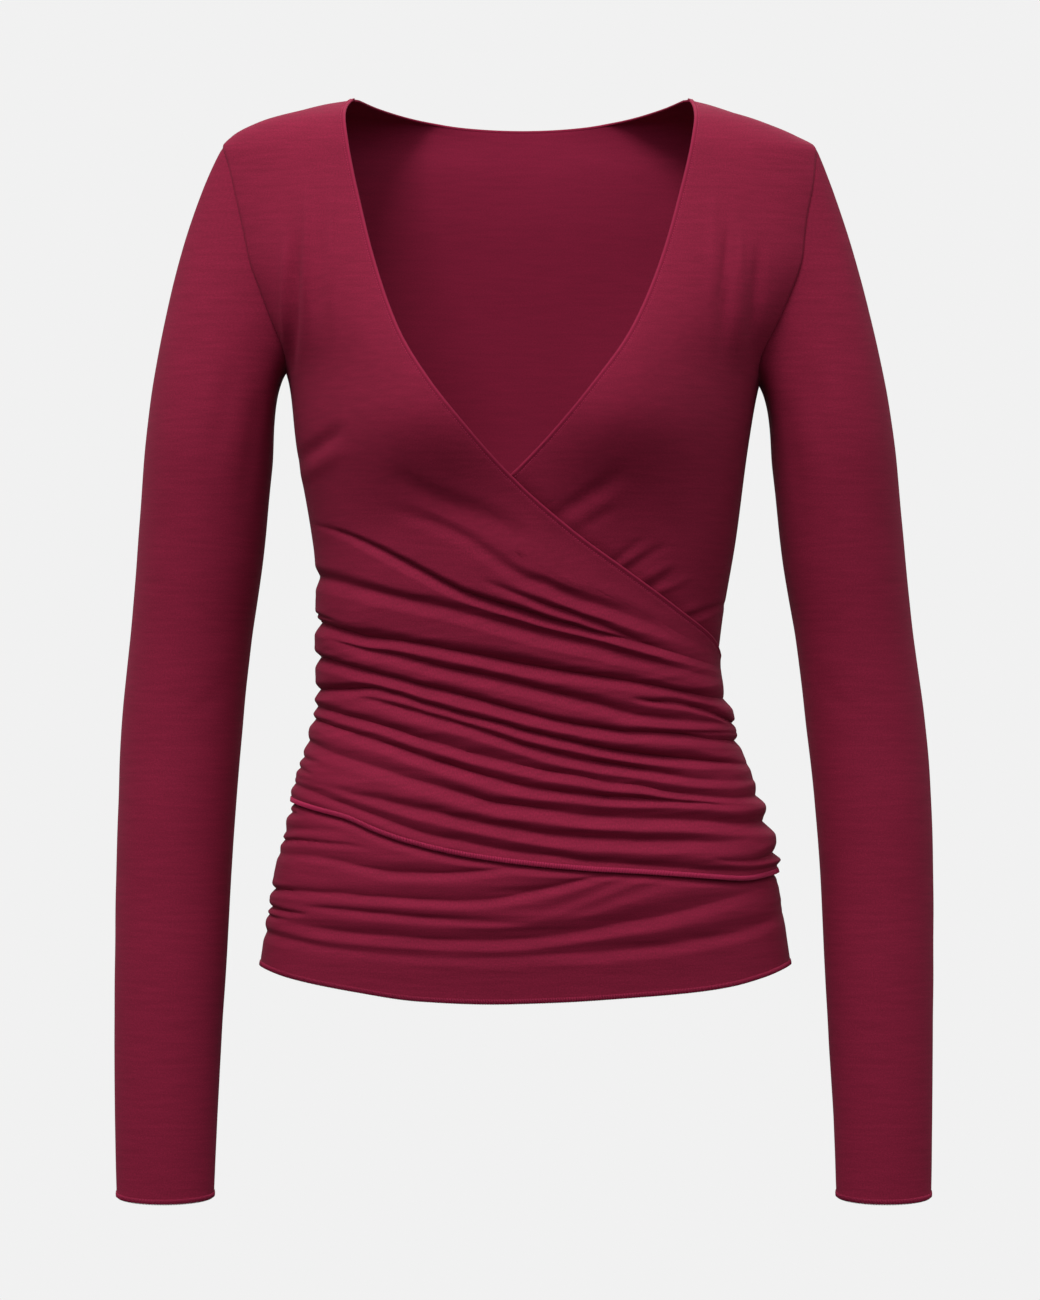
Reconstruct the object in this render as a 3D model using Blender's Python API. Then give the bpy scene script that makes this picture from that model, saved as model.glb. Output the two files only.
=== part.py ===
"""A jersey wrap jacket in its worn form: a deep V neck, a right front that laps over
the left one, ruched sides and long slim sleeves.

Five cut pieces stand 0.3 mm apart at their seams, each a thin wall of cloth: the back,
the left front that lies under, the right front that lies over it, and two sleeves.
Right and left are the wearer's, so the right side is at -X and the front at -Y.
The origin is midway between the two neck points, where the shoulders carry the cloth.
Tables and constants give millimetres; MM turns them into Blender's metres.
"""
from collections import namedtuple

import bpy
import numpy as np

MM = 0.001

# Cloth
WALL = 1.6               # cloth thickness, square to the figure
SEAM_GAP = 0.3           # between the two sides of a seam
LAYER_GAP = 1.2          # between the under front and the front that laps over it
OVER_LIFT = WALL + LAYER_GAP
PRESSED_IN = 1.0         # how far the over front presses the under one into the figure

# Figure under the cloth: one row for each level of the trunk
Level = namedtuple("Level", "height right left front back square back_square")
LEVELS = (
    Level(0, 101.0, 99.0, 6, 8, 1.80, 2.10),            # neck points
    Level(-3, 119.0, 111.0, 17, 48, 1.80, 2.10),
    Level(-9, 139.0, 127.0, 30, 79, 1.80, 2.10),
    Level(-16, 159.0, 145.0, 39, 78.5, 1.80, 2.10),     # back neck
    Level(-24, 173.5, 163.0, 45, 78.5, 1.82, 2.05),
    Level(-33, 181.0, 177.5, 50, 78.5, 1.85, 1.95),     # shoulder points
    Level(-60, 184.0, 184.0, 62, 80, 1.95, 2.00),
    Level(-95, 180.0, 183.0, 77, 84, 2.05, 2.08),       # across the chest
    Level(-130, 163.0, 167.0, 89, 88, 2.15, 2.15),
    Level(-165, 140.0, 142.0, 96, 90.5, 2.25, 2.25),    # underarm
    Level(-205, 133.5, 134.0, 98, 92, 2.30, 2.30),      # full bust
    Level(-265, 123.0, 126.0, 90, 86, 2.30, 2.30),
    Level(-320, 116.5, 117.0, 82, 72, 2.30, 2.30),
    Level(-350, 115.5, 114.5, 80, 68, 2.30, 2.30),      # waist
    Level(-385, 121.5, 119.5, 81.5, 74, 2.30, 2.30),
    Level(-420, 133.5, 135.0, 84.5, 85, 2.30, 2.30),
    Level(-460, 143.0, 146.5, 87, 97, 2.30, 2.30),      # high hip
    Level(-500, 152.5, 155.5, 87.5, 104, 2.28, 2.28),
    Level(-545, 160.0, 163.0, 86, 107, 2.25, 2.25),     # below the hem
)
BUST_SIDE = 60           # centre line to each bust point
BUST_HEIGHT = -188
BUST_DEPTH = 20
BUST_WIDE = 46
BUST_ABOVE = 62
BUST_BELOW = 41

# Armhole: an egg-shaped loop round the angle of the side
SIDE_ANGLE = 90          # the side seams and shoulders, in degrees round from the centre front
SHOULDER_HEIGHT = -30
UNDERARM_HEIGHT = {"right": -163.5, "left": -171.0}
ARMHOLE_REACH = 25       # degrees that the loop runs forward and back of the side
ARMHOLE_ROUNDNESS = 0.8

# Neck edge of each front: side position at each height, from the neck point to the far side
Edge = namedtuple("Edge", "height side")
OVER_EDGE = (
    Edge(0, -101), Edge(-5, -104.5), Edge(-12, -105.7), Edge(-30, -103.5), Edge(-46, -100.5),
    Edge(-66, -96), Edge(-103, -86.6), Edge(-145, -71.6), Edge(-175, -53.8), Edge(-204, -30.7),
    Edge(-230, -6.4), Edge(-263, 31), Edge(-285, 61), Edge(-306, 89), Edge(-326, 112), Edge(-335, 116),
)
UNDER_EDGE = (
    Edge(0, 99), Edge(-5, 101.5), Edge(-12, 102), Edge(-30, 99.5), Edge(-60, 92.5), Edge(-103, 80.1),
    Edge(-145, 62.3), Edge(-180, 37.8), Edge(-209, 13), Edge(-230, -8), Edge(-263, -42),
    Edge(-295, -79), Edge(-322, -108), Edge(-333, -115.5),
)
BACK_NECK_DROP = 11.6    # how far the back neck dips below the neck points

# Creases: height of each at five places across the front, and how deep it is there
ACROSS = (-1.0, -0.5, 0.0, 0.5, 1.0)
Crease = namedtuple("Crease", "name heights depths")
OVER_CREASES = (
    Crease("bust drag", (-238, -254, -285, -308.5, -341), (0.0, 0.8, 1.3, 1.6, 0.5)),
    Crease("ribs", (-256, -283, -308.5, -322.5, -346), (2.0, 3.0, 3.4, 2.4, 1.0)),
    Crease("waist top", (-287, -300, -318.5, -332, -351.5), (4.0, 2.4, 2.6, 2.6, 1.2)),
    Crease("first pinch", (-313.5, -326.5, -339.5, -347.5, -359), (5.2, 3.0, 3.0, 2.0, 1.8)),
    Crease("left pinch", (-323, -337, -351.5, -366, -370.5), (0.6, 2.8, 3.0, 2.8, 4.2)),
    Crease("second pinch", (-333, -351.5, -367, -378.5, -384), (4.8, 2.8, 2.8, 3.0, 3.0)),
    Crease("waist", (-350, -361, -377, -391.5, -398.5), (5.6, 2.8, 3.2, 3.8, 4.4)),
    Crease("below waist", (-359, -368, -386, -399.5, -409), (1.2, 2.6, 3.0, 3.2, 1.4)),
    Crease("high belly", (-365.5, -381.5, -398, -409, -419.5), (3.0, 3.0, 2.4, 2.4, 3.6)),
    Crease("third pinch", (-372, -392, -411, -418.5, -426.5), (3.6, 3.4, 3.4, 3.2, 1.2)),
    Crease("belly", (-385, -405, -422, -429.5, -434), (2.4, 2.4, 2.4, 2.8, 3.8)),
    Crease("low belly", (-401, -421, -436, -442, -444), (1.8, 2.4, 2.6, 2.6, 1.4)),
    Crease("last fold", (-411, -433, -449.5, -457, -452.5), (3.0, 2.8, 2.6, 2.0, 3.6)),
    Crease("lower edge", (-423.5, -444, -457.5, -463.5, -465), (0.3, 0.3, 0.3, 0.3, 0.3)),
)
UNDER_CREASES = (
    Crease("wrap line", (-338, -325, -300, -275, -262), (0, 0, 0, 0, 0)),
    Crease("hidden waist", (-364, -353, -332, -309, -297), (0, 0, 0, 0, 0)),
    Crease("hidden belly", (-390, -381, -364, -343, -331), (0, 0, 0, 0, 0)),
    Crease("hidden hip", (-416, -410, -397, -378, -366), (0, 0, 0, 0, 0)),
    Crease("edge fold", (-445, -444, -436, -418, -404), (3.4, 0.0, 0, 0, 0)),
    Crease("short wrap fold", (-455, -460.5, -455.5, -438, -424), (1.0, 3.0, 1.0, 0, 0)),
    Crease("long wrap fold", (-472.5, -474.5, -472, -455, -441), (4.2, 2.0, 2.6, 0.6, 0)),
    Crease("hip pinch", (-482.5, -485, -486, -471, -455), (4.2, 2.2, 0.8, 0.4, 0)),
    Crease("hip sweep", (-495, -497.5, -499, -487.5, -467), (3.6, 1.8, 2.2, 2.4, 1.0)),
    Crease("low sweep", (-507, -511, -511, -503.5, -486), (0.8, 0.8, 0.8, 2.2, 2.0)),
    Crease("hem", (-519.5, -533.5, -536, -531.5, -518.8), (2.2, 1.8, 1.8, 1.8, 2.0)),
)
OVER_FULLNESS = (5.6, 3.6, 3.6, 3.9, 4.6)     # how far the folds stand off the figure
UNDER_FULLNESS = (4.4, 3.2, 3.0, 2.6, 2.2)
FOLD_TOP = 13            # length of a fold's gentle upper face
FOLD_UNDERSIDE = 4.5     # length of its steep underside
TOP_SHARE = 0.62         # most of a low fold's height that its upper face takes
UNDERSIDE_SHARE = 0.33   # and its underside
KNEE_DOWN = 0.4          # a bend in the upper face: how far down it lies
KNEE_DEPTH = 0.36        # and the share of the crease's depth that is left there
DEPTH_SHARE = 0.4        # deepest crease, as a share of its fold's height
FLAT_BELOW_EDGE = 35     # the over front lies flat this far below its neck edge
FOLDS_START = 75         # height over which the folds rise above the first crease
EDGE_REST = 0.6          # share of the fullness lost where the lower edge rests
REST_HEIGHT = 10         # height over which it is lost
LIFT_TOP = -168          # the over front starts to clear the under one here, below the armhole
LIFT_HEIGHT = 54         # and clears it by a whole layer this far below
SHOWS_ABOVE = 4          # the under front's folds start this far above the over front's lower edge
SHOWS_HEIGHT = 12        # and stand out in full this far below
COVERED_AT_EDGE = 0.7    # how far the under front is already pressed in below the neck edge
BACK_HEM_CENTRE = -529

# Gathers of the back, which run in from each side seam and fade towards the middle
Gather = namedtuple("Gather", "right left")
BACK_GATHERS = (
    Gather(-287, -338), Gather(-313, -359), Gather(-350, -384), Gather(-385, -409),
    Gather(-411, -434), Gather(-445, -455), Gather(-472, -476), Gather(-495, -498),
)
GATHER_REACH = 52        # degrees that they run in from the side seam
ABOVE_GATHERS = 24       # height of the plain row above the first gather

# Sleeves: one row for each section below the armhole, for the right arm and the left arm
Section = namedtuple("Section", "height centre_right wide_right centre_left wide_left deep forward")
SECTIONS = (
    Section(-222, 189.0, 38.6, 187.0, 37.4, 45, 0),      # upper arm
    Section(-277, 193.8, 37.9, 192.6, 36.9, 44, -3),
    Section(-325, 199.3, 36.5, 199.2, 35.4, 41, -4),
    Section(-373, 204.3, 36.4, 205.4, 35.8, 39, -3),     # elbow
    Section(-421, 207.2, 35.4, 209.8, 35.0, 38, 0),
    Section(-469, 209.3, 34.4, 212.0, 33.7, 35, 4),
    Section(-517, 210.6, 33.4, 212.8, 32.6, 32, 9),
    Section(-565, 212.0, 32.0, 213.6, 31.1, 28, 14),
    Section(-613, 212.8, 30.4, 214.6, 29.3, 24.5, 18),
    Section(-656, 213.0, 29.0, 214.8, 28.3, 21, 21),     # cuff
)
CUFF_TILT = 3            # how far the front of the cuff hangs below its back
CAP_SLOPE = 60           # degrees below level at which the sleeve leaves the shoulder
UNDERARM_SLOPE = 8       # and the underarm
CAP_LEAVES = 0.75        # how strongly the cap keeps to that slope
CAP_ARRIVES = 0.9        # and to the arm's own direction at its lower end
TILT_TOP = -560          # the tilt of the cuff builds up from here
TILT_HEIGHT = 100        # over this height

# Mesh fineness
FRONT_COLUMNS = 22
BACK_COLUMNS = 17
BACK_SHOULDER_STEPS = 4  # columns of the back on each shoulder seam
ARMHOLE_STEPS = 10       # steps from the shoulder to the underarm
SEAM_STEPS = 6           # steps from the underarm to the first crease
CAP_RINGS = 6
LINE_POINTS = 160        # close points that stand for a curved line before it is spaced out

CRIMSON = (0.171, 0.010, 0.034, 1.0)
ROUGHNESS = 0.85


def through(places, values, at):
    """Smooth curve through the values at rising places, with no overshoot."""
    places = np.asarray(places, float)
    values = np.asarray(values, float)
    slope = np.diff(values) / np.diff(places)
    turning = slope[1:] * slope[:-1] <= 0
    total = np.where(turning, 1.0, slope[1:] + slope[:-1])
    inner = np.where(turning, 0.0, 2 * slope[1:] * slope[:-1] / total)
    tangent = np.concatenate([slope[:1], inner, slope[-1:]])
    at = np.clip(np.asarray(at, float), places[0], places[-1])
    i = np.clip(np.searchsorted(places, at) - 1, 0, len(places) - 2)
    step = places[i + 1] - places[i]
    t = (at - places[i]) / step
    start = (2 * t**3 - 3 * t**2 + 1) * values[i] + (t**3 - 2 * t**2 + t) * step * tangent[i]
    end = (3 * t**2 - 2 * t**3) * values[i + 1] + (t**3 - t**2) * step * tangent[i + 1]
    return start + end


def from_table(table, column, height):
    """Value of a table's column at a height; the table runs from the top down."""
    places = [-row.height for row in table]
    return through(places, [getattr(row, column) for row in table], -np.asarray(height, float))


def ease(value):
    """Ramp from 0 to 1 with soft ends."""
    value = np.clip(value, 0.0, 1.0)
    return value * value * (3 - 2 * value)


def unit(vectors):
    """Vectors of length one."""
    return vectors / np.linalg.norm(vectors, axis=-1, keepdims=True)


def figure(angle, height):
    """Point of the figure at an angle round the trunk and a height.

    The angle is 0 at the centre front, 90 at the left side and 180 at the centre back.
    """
    angle, height = np.broadcast_arrays(np.asarray(angle, float), np.asarray(height, float))
    sine, cosine = np.sin(np.radians(angle)), np.cos(np.radians(angle))
    half = np.where(sine < 0, from_table(LEVELS, "right", height), from_table(LEVELS, "left", height))
    front, back = from_table(LEVELS, "front", height), from_table(LEVELS, "back", height)
    front_square, back_square = from_table(LEVELS, "square", height), from_table(LEVELS, "back_square", height)
    square = np.where(cosine > 0, front_square, back_square)
    x = half * sine
    y = np.clip(1 - np.abs(sine)**square, 0, 1)**(1 / square)
    up_or_down = np.where(height > BUST_HEIGHT, BUST_ABOVE, BUST_BELOW)
    away = ((np.abs(x) - BUST_SIDE) / BUST_WIDE)**2 + ((height - BUST_HEIGHT) / up_or_down)**2
    bust = BUST_DEPTH * np.exp(-away) * np.sqrt(np.clip(cosine, 0, 1))
    y = np.where(cosine > 0, -front * y - bust, back * y)
    return np.stack([x, y, height], axis=-1)


def outward(angle, height):
    """Unit normal of the figure."""
    turn, drop = 1.0, 1.0
    top = np.minimum(np.asarray(height, float) + drop, 0.0)
    round_it = figure(angle + turn, height) - figure(angle - turn, height)
    down_it = figure(angle, height - drop) - figure(angle, top)
    return unit(np.cross(down_it, round_it))


def worn(angle, height, offset):
    """Points of cloth that stand off the figure by an offset."""
    return figure(angle, height) + outward(angle, height) * np.asarray(offset)[..., None]


def angle_at(side, height):
    """Angle of the front point whose distance from the centre line is side."""
    side = np.asarray(side, float)
    half = np.where(side < 0, from_table(LEVELS, "right", height), from_table(LEVELS, "left", height))
    return np.degrees(np.arcsin(np.clip(side / half, -1, 1)))


def side_at(angle, height):
    """Distance from the centre line of a point of the figure."""
    return figure(angle, height)[..., 0]


def evenly(angle, height, count):
    """Count points spaced evenly along a line on the figure, given by many close ones."""
    steps = np.linalg.norm(np.diff(figure(angle, height), axis=0), axis=1)
    length = np.concatenate([[0.0], np.cumsum(steps)])
    at = np.linspace(0, length[-1], count)
    return np.interp(at, length, angle), np.interp(at, length, height)


def patch(top, bottom, first, last):
    """Fill between four lines of angle and height; top and bottom run from first to last."""
    across = np.linspace(0, 1, len(top[0]))[None, :]
    down = np.linspace(0, 1, len(first[0]))[:, None]
    filled = []
    for t, b, f, l in zip(top, bottom, first, last):
        t, b, f, l = (np.asarray(line, float) for line in (t, b, f, l))
        sides = (1 - across) * f[:, None] + across * l[:, None]
        ends = (1 - down) * t[None, :] + down * b[None, :]
        corners = ((1 - across) * (1 - down) * t[0] + across * (1 - down) * t[-1]
                   + (1 - across) * down * b[0] + across * down * b[-1])
        filled.append(sides + ends - corners)
    return filled


def armhole(side, turn):
    """Angle and height on the armhole; turn is 0 at the shoulder, 90 in front, 180 under the arm."""
    turn = np.radians(np.asarray(turn, float))
    low = UNDERARM_HEIGHT[side]
    height = (SHOULDER_HEIGHT + low) / 2 + (SHOULDER_HEIGHT - low) / 2 * np.cos(turn)
    ahead = np.sign(np.sin(turn)) * np.abs(np.sin(turn))**ARMHOLE_ROUNDNESS
    angle = SIDE_ANGLE - ARMHOLE_REACH * ahead
    return (-angle if side == "right" else angle), height


def round_the_trunk(angle, height):
    """Unit direction of growing angle."""
    return unit(figure(angle + 1.0, height) - figure(angle - 1.0, height))


def wall(angle, height, offset, centre=0):
    """Outer and inner points of a panel whose inner face stands off the figure by an offset.

    Its seam edges, a quarter turn from its centre line, are drawn back by half the seam gap.
    """
    on_seam = np.abs(angle - centre) >= SIDE_ANGLE - 1e-6
    shift = on_seam * np.sign(centre - angle) * SEAM_GAP / 2
    inner = worn(angle, height, offset) + round_the_trunk(angle, height) * shift[..., None]
    return inner + outward(angle, height) * WALL, inner


def across_at(angle):
    """Place across the front, -1 at the right side to 1 at the left one."""
    return np.where(np.abs(angle) < SIDE_ANGLE, np.sin(np.radians(angle)), np.sign(angle))


def crease_heights(creases, angle):
    """Height of every crease at each angle, a row for each crease."""
    place = across_at(angle)
    return np.array([through(ACROSS, crease.heights, place) for crease in creases])


def crease_depths(creases, angle):
    """Depth of every crease at each angle, no deeper than its folds are long."""
    place = across_at(angle)
    depths = np.array([through(ACROSS, crease.depths, place) for crease in creases])
    gaps = -np.diff(crease_heights(creases, angle), axis=0)
    room = np.minimum(np.vstack([gaps[:1], gaps]), np.vstack([gaps, gaps[-1:]]))
    return np.minimum(depths, DEPTH_SHARE * room)


def fold_rows(creases, fullness, angle):
    """Rows from the first crease to the last: heights and how far the folds stand off.

    Each fold swells from the crease above it and turns in steeply to the one below.
    """
    crease = crease_heights(creases, angle)
    depth = crease_depths(creases, angle)
    full = through(ACROSS, fullness, across_at(angle))
    heights, offsets = [], []
    for k in range(len(creases) - 1):
        gap = crease[k] - crease[k + 1]
        top = np.minimum(FOLD_TOP, TOP_SHARE * gap)
        underside = np.minimum(FOLD_UNDERSIDE, UNDERSIDE_SHARE * gap)
        heights.append(crease[k])
        offsets.append(full - depth[k])
        if any(creases[k].depths + creases[k + 1].depths):
            heights += [crease[k] - KNEE_DOWN * top, crease[k] - top, crease[k + 1] + underside]
            offsets += [full - KNEE_DEPTH * depth[k], full, full]
    heights.append(crease[-1])
    offsets.append(full - depth[-1])
    heights, offsets = np.array(heights), np.array(offsets)
    resting = ease(1 - (heights - crease[-1]) / REST_HEIGHT)
    return heights, offsets * (1 - EDGE_REST * resting)


def edge_line(edge):
    """Many close points of angle and height along a neck edge."""
    height = -np.linspace(0, 1, 2 * LINE_POINTS)**2 * -edge[-1].height
    side = through([-row.height for row in edge], [row.side for row in edge], -height)
    return angle_at(side, height), height


def below_edge(edge, angle, height):
    """How far a point of a front lies below the front's neck edge."""
    edge_angle, edge_height = edge_line(edge)
    order = np.argsort(edge_angle)
    return np.interp(angle, edge_angle[order], edge_height[order]) - height


def front_panel(side, edge, creases, fullness):
    """Angles, heights and fold offsets of a front, from its shoulder to its lower edge.

    The columns run from the front's own side seam to the far one.
    """
    sign = -1 if side == "right" else 1
    columns = np.linspace(sign * SIDE_ANGLE, -sign * SIDE_ANGLE, FRONT_COLUMNS)
    heights, offsets = fold_rows(creases, fullness, columns)
    angles = np.broadcast_to(columns, heights.shape)

    ridge = np.linspace(SHOULDER_HEIGHT, 0, LINE_POINTS)
    ridge_side = from_table(LEVELS, side, ridge)
    point_side = np.linspace(ridge_side[0], ridge_side[-1], FRONT_COLUMNS)
    shoulder = (np.full(FRONT_COLUMNS, float(sign * SIDE_ANGLE)), np.interp(-point_side, -ridge_side, ridge))

    hole_angle, hole_height = armhole(side, np.linspace(0, 180, ARMHOLE_STEPS + 1))
    seam_height = np.linspace(UNDERARM_HEIGHT[side], heights[0][0], SEAM_STEPS + 1)[1:]
    outer = (np.append(hole_angle, np.full(SEAM_STEPS, columns[0])), np.append(hole_height, seam_height))
    edge_angle, edge_height = edge_line(edge)
    inner = evenly(np.append(edge_angle, columns[-1]), np.append(edge_height, heights[0][-1]),
                   len(outer[0]))
    yoke_angle, yoke_height = patch(shoulder, (columns, heights[0]), outer, inner)

    full = through(ACROSS, fullness, across_at(yoke_angle)) - crease_depths(creases, yoke_angle)[0]
    above = yoke_height - crease_heights(creases, yoke_angle)[0]
    yoke_offset = full * ease(1 - above / FOLDS_START)
    return (np.vstack([yoke_angle[:-1], angles]), np.vstack([yoke_height[:-1], heights]),
            np.vstack([yoke_offset[:-1], offsets]))


def over_lift(height):
    """How far the over front clears the under one: nothing at the armhole, a layer at the V."""
    return OVER_LIFT * ease((LIFT_TOP - height) / LIFT_HEIGHT)


def over_offset(angle, height, folds):
    """How far the over front stands off the figure, flat below its neck edge and then folded."""
    loose = ease(below_edge(OVER_EDGE, angle, height) / FLAT_BELOW_EDGE)
    return over_lift(height) + folds * loose


def under_offset(angle, height, folds):
    """How far the under front stands off: folded only below the over front, pressed in under it."""
    cover = crease_heights(OVER_CREASES, angle)[-1]
    shows = ease((cover + SHOWS_ABOVE - height) / SHOWS_HEIGHT)
    covered = ease(below_edge(OVER_EDGE, angle, height) / FLAT_BELOW_EDGE + COVERED_AT_EDGE)
    return folds * shows - PRESSED_IN * covered * (1 - shows)


def seam_profile(side):
    """Heights and offsets of the outermost front down a side seam, from the underarm to the hem."""
    angle = np.array([-SIDE_ANGLE if side == "right" else SIDE_ANGLE], float)
    over_height, over_folds = fold_rows(OVER_CREASES, OVER_FULLNESS, angle)
    under_height, under_folds = fold_rows(UNDER_CREASES, UNDER_FULLNESS, angle)
    if side == "right":
        first = over_height[0][0]
        rise = np.linspace(UNDERARM_HEIGHT[side], first, 2 * SEAM_STEPS)[:-1, None]
        over_folds = np.vstack([over_folds[0] * ease(1 - (rise - first) / FOLDS_START), over_folds])
        over_height = np.vstack([rise, over_height])
    over = over_offset(angle, over_height, over_folds)
    low = under_height[:, 0] < over_height[-1][0] - 1
    under = under_offset(angle, under_height, under_folds)
    start = [] if side == "right" else [UNDERARM_HEIGHT[side], OVER_EDGE[-1].height + 3]
    return (np.concatenate([start, over_height[:, 0], under_height[low][:, 0]]),
            np.concatenate([np.zeros(len(start)), over[:, 0], under[low][:, 0]]))


def back_offset(angle, height):
    """How far the back stands off: the fronts' folds at the seams, plain cloth in the middle."""
    offset = np.zeros_like(height)
    for side, seam in (("right", 360 - SIDE_ANGLE), ("left", SIDE_ANGLE)):
        seam_height, seam_out = seam_profile(side)
        near = ease(1 - np.abs(angle - seam) / GATHER_REACH)
        offset = offset + near * np.interp(-height, -seam_height, seam_out)
    return offset


def build_back():
    """Angles, heights and offsets of the back; columns run from the right side to the left."""
    share = np.linspace(-1, 1, BACK_COLUMNS)
    lines = {}
    for side, corner in (("right", UNDER_CREASES[-1].heights[0]), ("left", UNDER_CREASES[-1].heights[-1])):
        hole_angle, hole_height = armhole(side, np.linspace(360, 180, ARMHOLE_STEPS + 1))
        hole_angle = np.where(hole_angle < 0, hole_angle + 360, hole_angle)
        seam_height = np.append(gather_heights(side), corner)
        seam_angle = np.full(len(seam_height), 360.0 - SIDE_ANGLE if side == "right" else SIDE_ANGLE)
        lines[side] = (np.append(hole_angle, seam_angle), np.append(hole_height, seam_height))
    right_hem, left_hem = lines["right"][1][-1], lines["left"][1][-1]
    hem = BACK_HEM_CENTRE + (np.where(share < 0, right_hem, left_hem) - BACK_HEM_CENTRE) * share**2
    top = back_top()
    right_half, left_half = from_table(LEVELS, "right", hem), from_table(LEVELS, "left", hem)
    bottom_side = share * np.where(share < 0, right_half, left_half)
    flat = [(side_at(*line), line[1]) for line in (top, lines["right"], lines["left"])]
    side, height = patch(flat[0], (bottom_side, hem), *flat[1:])
    angle = 180 - angle_at(side, height)
    angle[0], angle[:, 0], angle[:, -1] = top[0], lines["right"][0], lines["left"][0]
    return angle, height, back_offset(angle, height)


def gather_heights(side):
    """Heights of the back's rows down a side seam: each gather's fold and the crease under it."""
    previous = getattr(BACK_GATHERS[0], side) + ABOVE_GATHERS
    marks = [(UNDERARM_HEIGHT[side] + previous) / 2, previous]
    for gather in BACK_GATHERS:
        crease = getattr(gather, side)
        marks += [(crease + previous) / 2, crease + FOLD_UNDERSIDE, crease]
        previous = crease
    return np.array(marks)


def back_top():
    """Top line of the back: right shoulder seam, back neck, left shoulder seam."""
    ridge = np.linspace(SHOULDER_HEIGHT, 0, LINE_POINTS)
    right, left = from_table(LEVELS, "right", ridge), from_table(LEVELS, "left", ridge)
    right_side = np.linspace(right[0], right[-1], BACK_SHOULDER_STEPS + 1)
    left_side = np.linspace(left[-1], left[0], BACK_SHOULDER_STEPS + 1)
    right_height = np.interp(-right_side, -right, ridge)
    left_height = np.interp(-left_side, -left, ridge)
    neck_side = np.linspace(-right[-1], left[-1], LINE_POINTS)[1:-1]
    share = np.where(neck_side < 0, neck_side / right[-1], neck_side / left[-1])
    neck_height = -BACK_NECK_DROP * (1 - share**2)
    right_seam, left_seam = 360.0 - SIDE_ANGLE, float(SIDE_ANGLE)
    neck = evenly(np.concatenate([[right_seam], 180 - angle_at(neck_side, neck_height), [left_seam]]),
                  np.concatenate([[0.0], neck_height, [0.0]]), BACK_COLUMNS - 2 * BACK_SHOULDER_STEPS)
    angle = np.concatenate([np.full(BACK_SHOULDER_STEPS, right_seam), neck[0],
                            np.full(BACK_SHOULDER_STEPS, left_seam)])
    height = np.concatenate([right_height[:-1], neck[1], left_height[1:]])
    return angle, height


def sleeve(side):
    """Rings of a sleeve from the armhole to the cuff: outer points and the way each faces."""
    sign = -1 if side == "right" else 1
    turn = np.arange(2 * ARMHOLE_STEPS) * 180 / ARMHOLE_STEPS
    angle, height = armhole(side, turn)
    normal = outward(angle, height)
    edge = figure(angle, height) + normal * WALL
    ahead = np.roll(edge, -1, axis=0) - np.roll(edge, 1, axis=0)
    away = unit(np.cross(ahead, normal) * -sign)
    high = (1 + np.cos(np.radians(turn))) / 2
    slope = np.radians(CAP_SLOPE * high + UNDERARM_SLOPE * (1 - high))
    leave = np.stack([sign * np.cos(slope), 0 * slope, -np.sin(slope)], axis=-1)
    rise = (leave * normal).sum(axis=1, keepdims=True)
    run = (leave * away).sum(axis=1, keepdims=True)
    first_facing = unit(normal * run - away * rise)
    start = edge + away * (SEAM_GAP + WALL * np.maximum(0, -rise))

    def ring(section):
        centre = getattr(section, "centre_" + side)
        wide = getattr(section, "wide_" + side)
        cos_turn, sin_turn = np.cos(np.radians(turn)), np.sin(np.radians(turn))
        x = sign * (centre + wide * cos_turn)
        y = -section.forward - section.deep * sin_turn
        low = ease((TILT_TOP - section.height) / TILT_HEIGHT)
        z = section.height - CUFF_TILT * low * sin_turn
        return np.stack([x, y, z], axis=-1)

    first = ring(SECTIONS[0])
    reach = np.linalg.norm(first - start, axis=1, keepdims=True)
    down = unit(ring(SECTIONS[1]) - first)
    rings = []
    for step in range(CAP_RINGS):
        t = step / CAP_RINGS
        rings.append((2 * t**3 - 3 * t**2 + 1) * start + (t**3 - 2 * t**2 + t) * leave * reach * CAP_LEAVES
                     + (3 * t**2 - 2 * t**3) * first + (t**3 - t**2) * down * reach * CAP_ARRIVES)
    rings += [ring(section) for section in SECTIONS]
    rings = np.array(rings)
    facing = ring_normals(rings)
    facing[0] = first_facing
    return rings, rings - facing * WALL


def ring_normals(rings):
    """Unit normals of a tube of rings, pointing away from its middle."""
    across = np.roll(rings, -1, axis=1) - np.roll(rings, 1, axis=1)
    normal = unit(np.cross(np.gradient(rings, axis=0), across))
    out = rings[-1] - rings[-1].mean(axis=0)
    return normal * np.sign((normal[-1] * out).sum())


def jersey(name):
    """The crimson jersey of one piece."""
    material = bpy.data.materials.new(name)
    material.use_nodes = True
    shader = material.node_tree.nodes["Principled BSDF"]
    shader.inputs["Base Color"].default_value = CRIMSON
    shader.inputs["Roughness"].default_value = ROUGHNESS
    shader.inputs["Metallic"].default_value = 0.0
    return material


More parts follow.
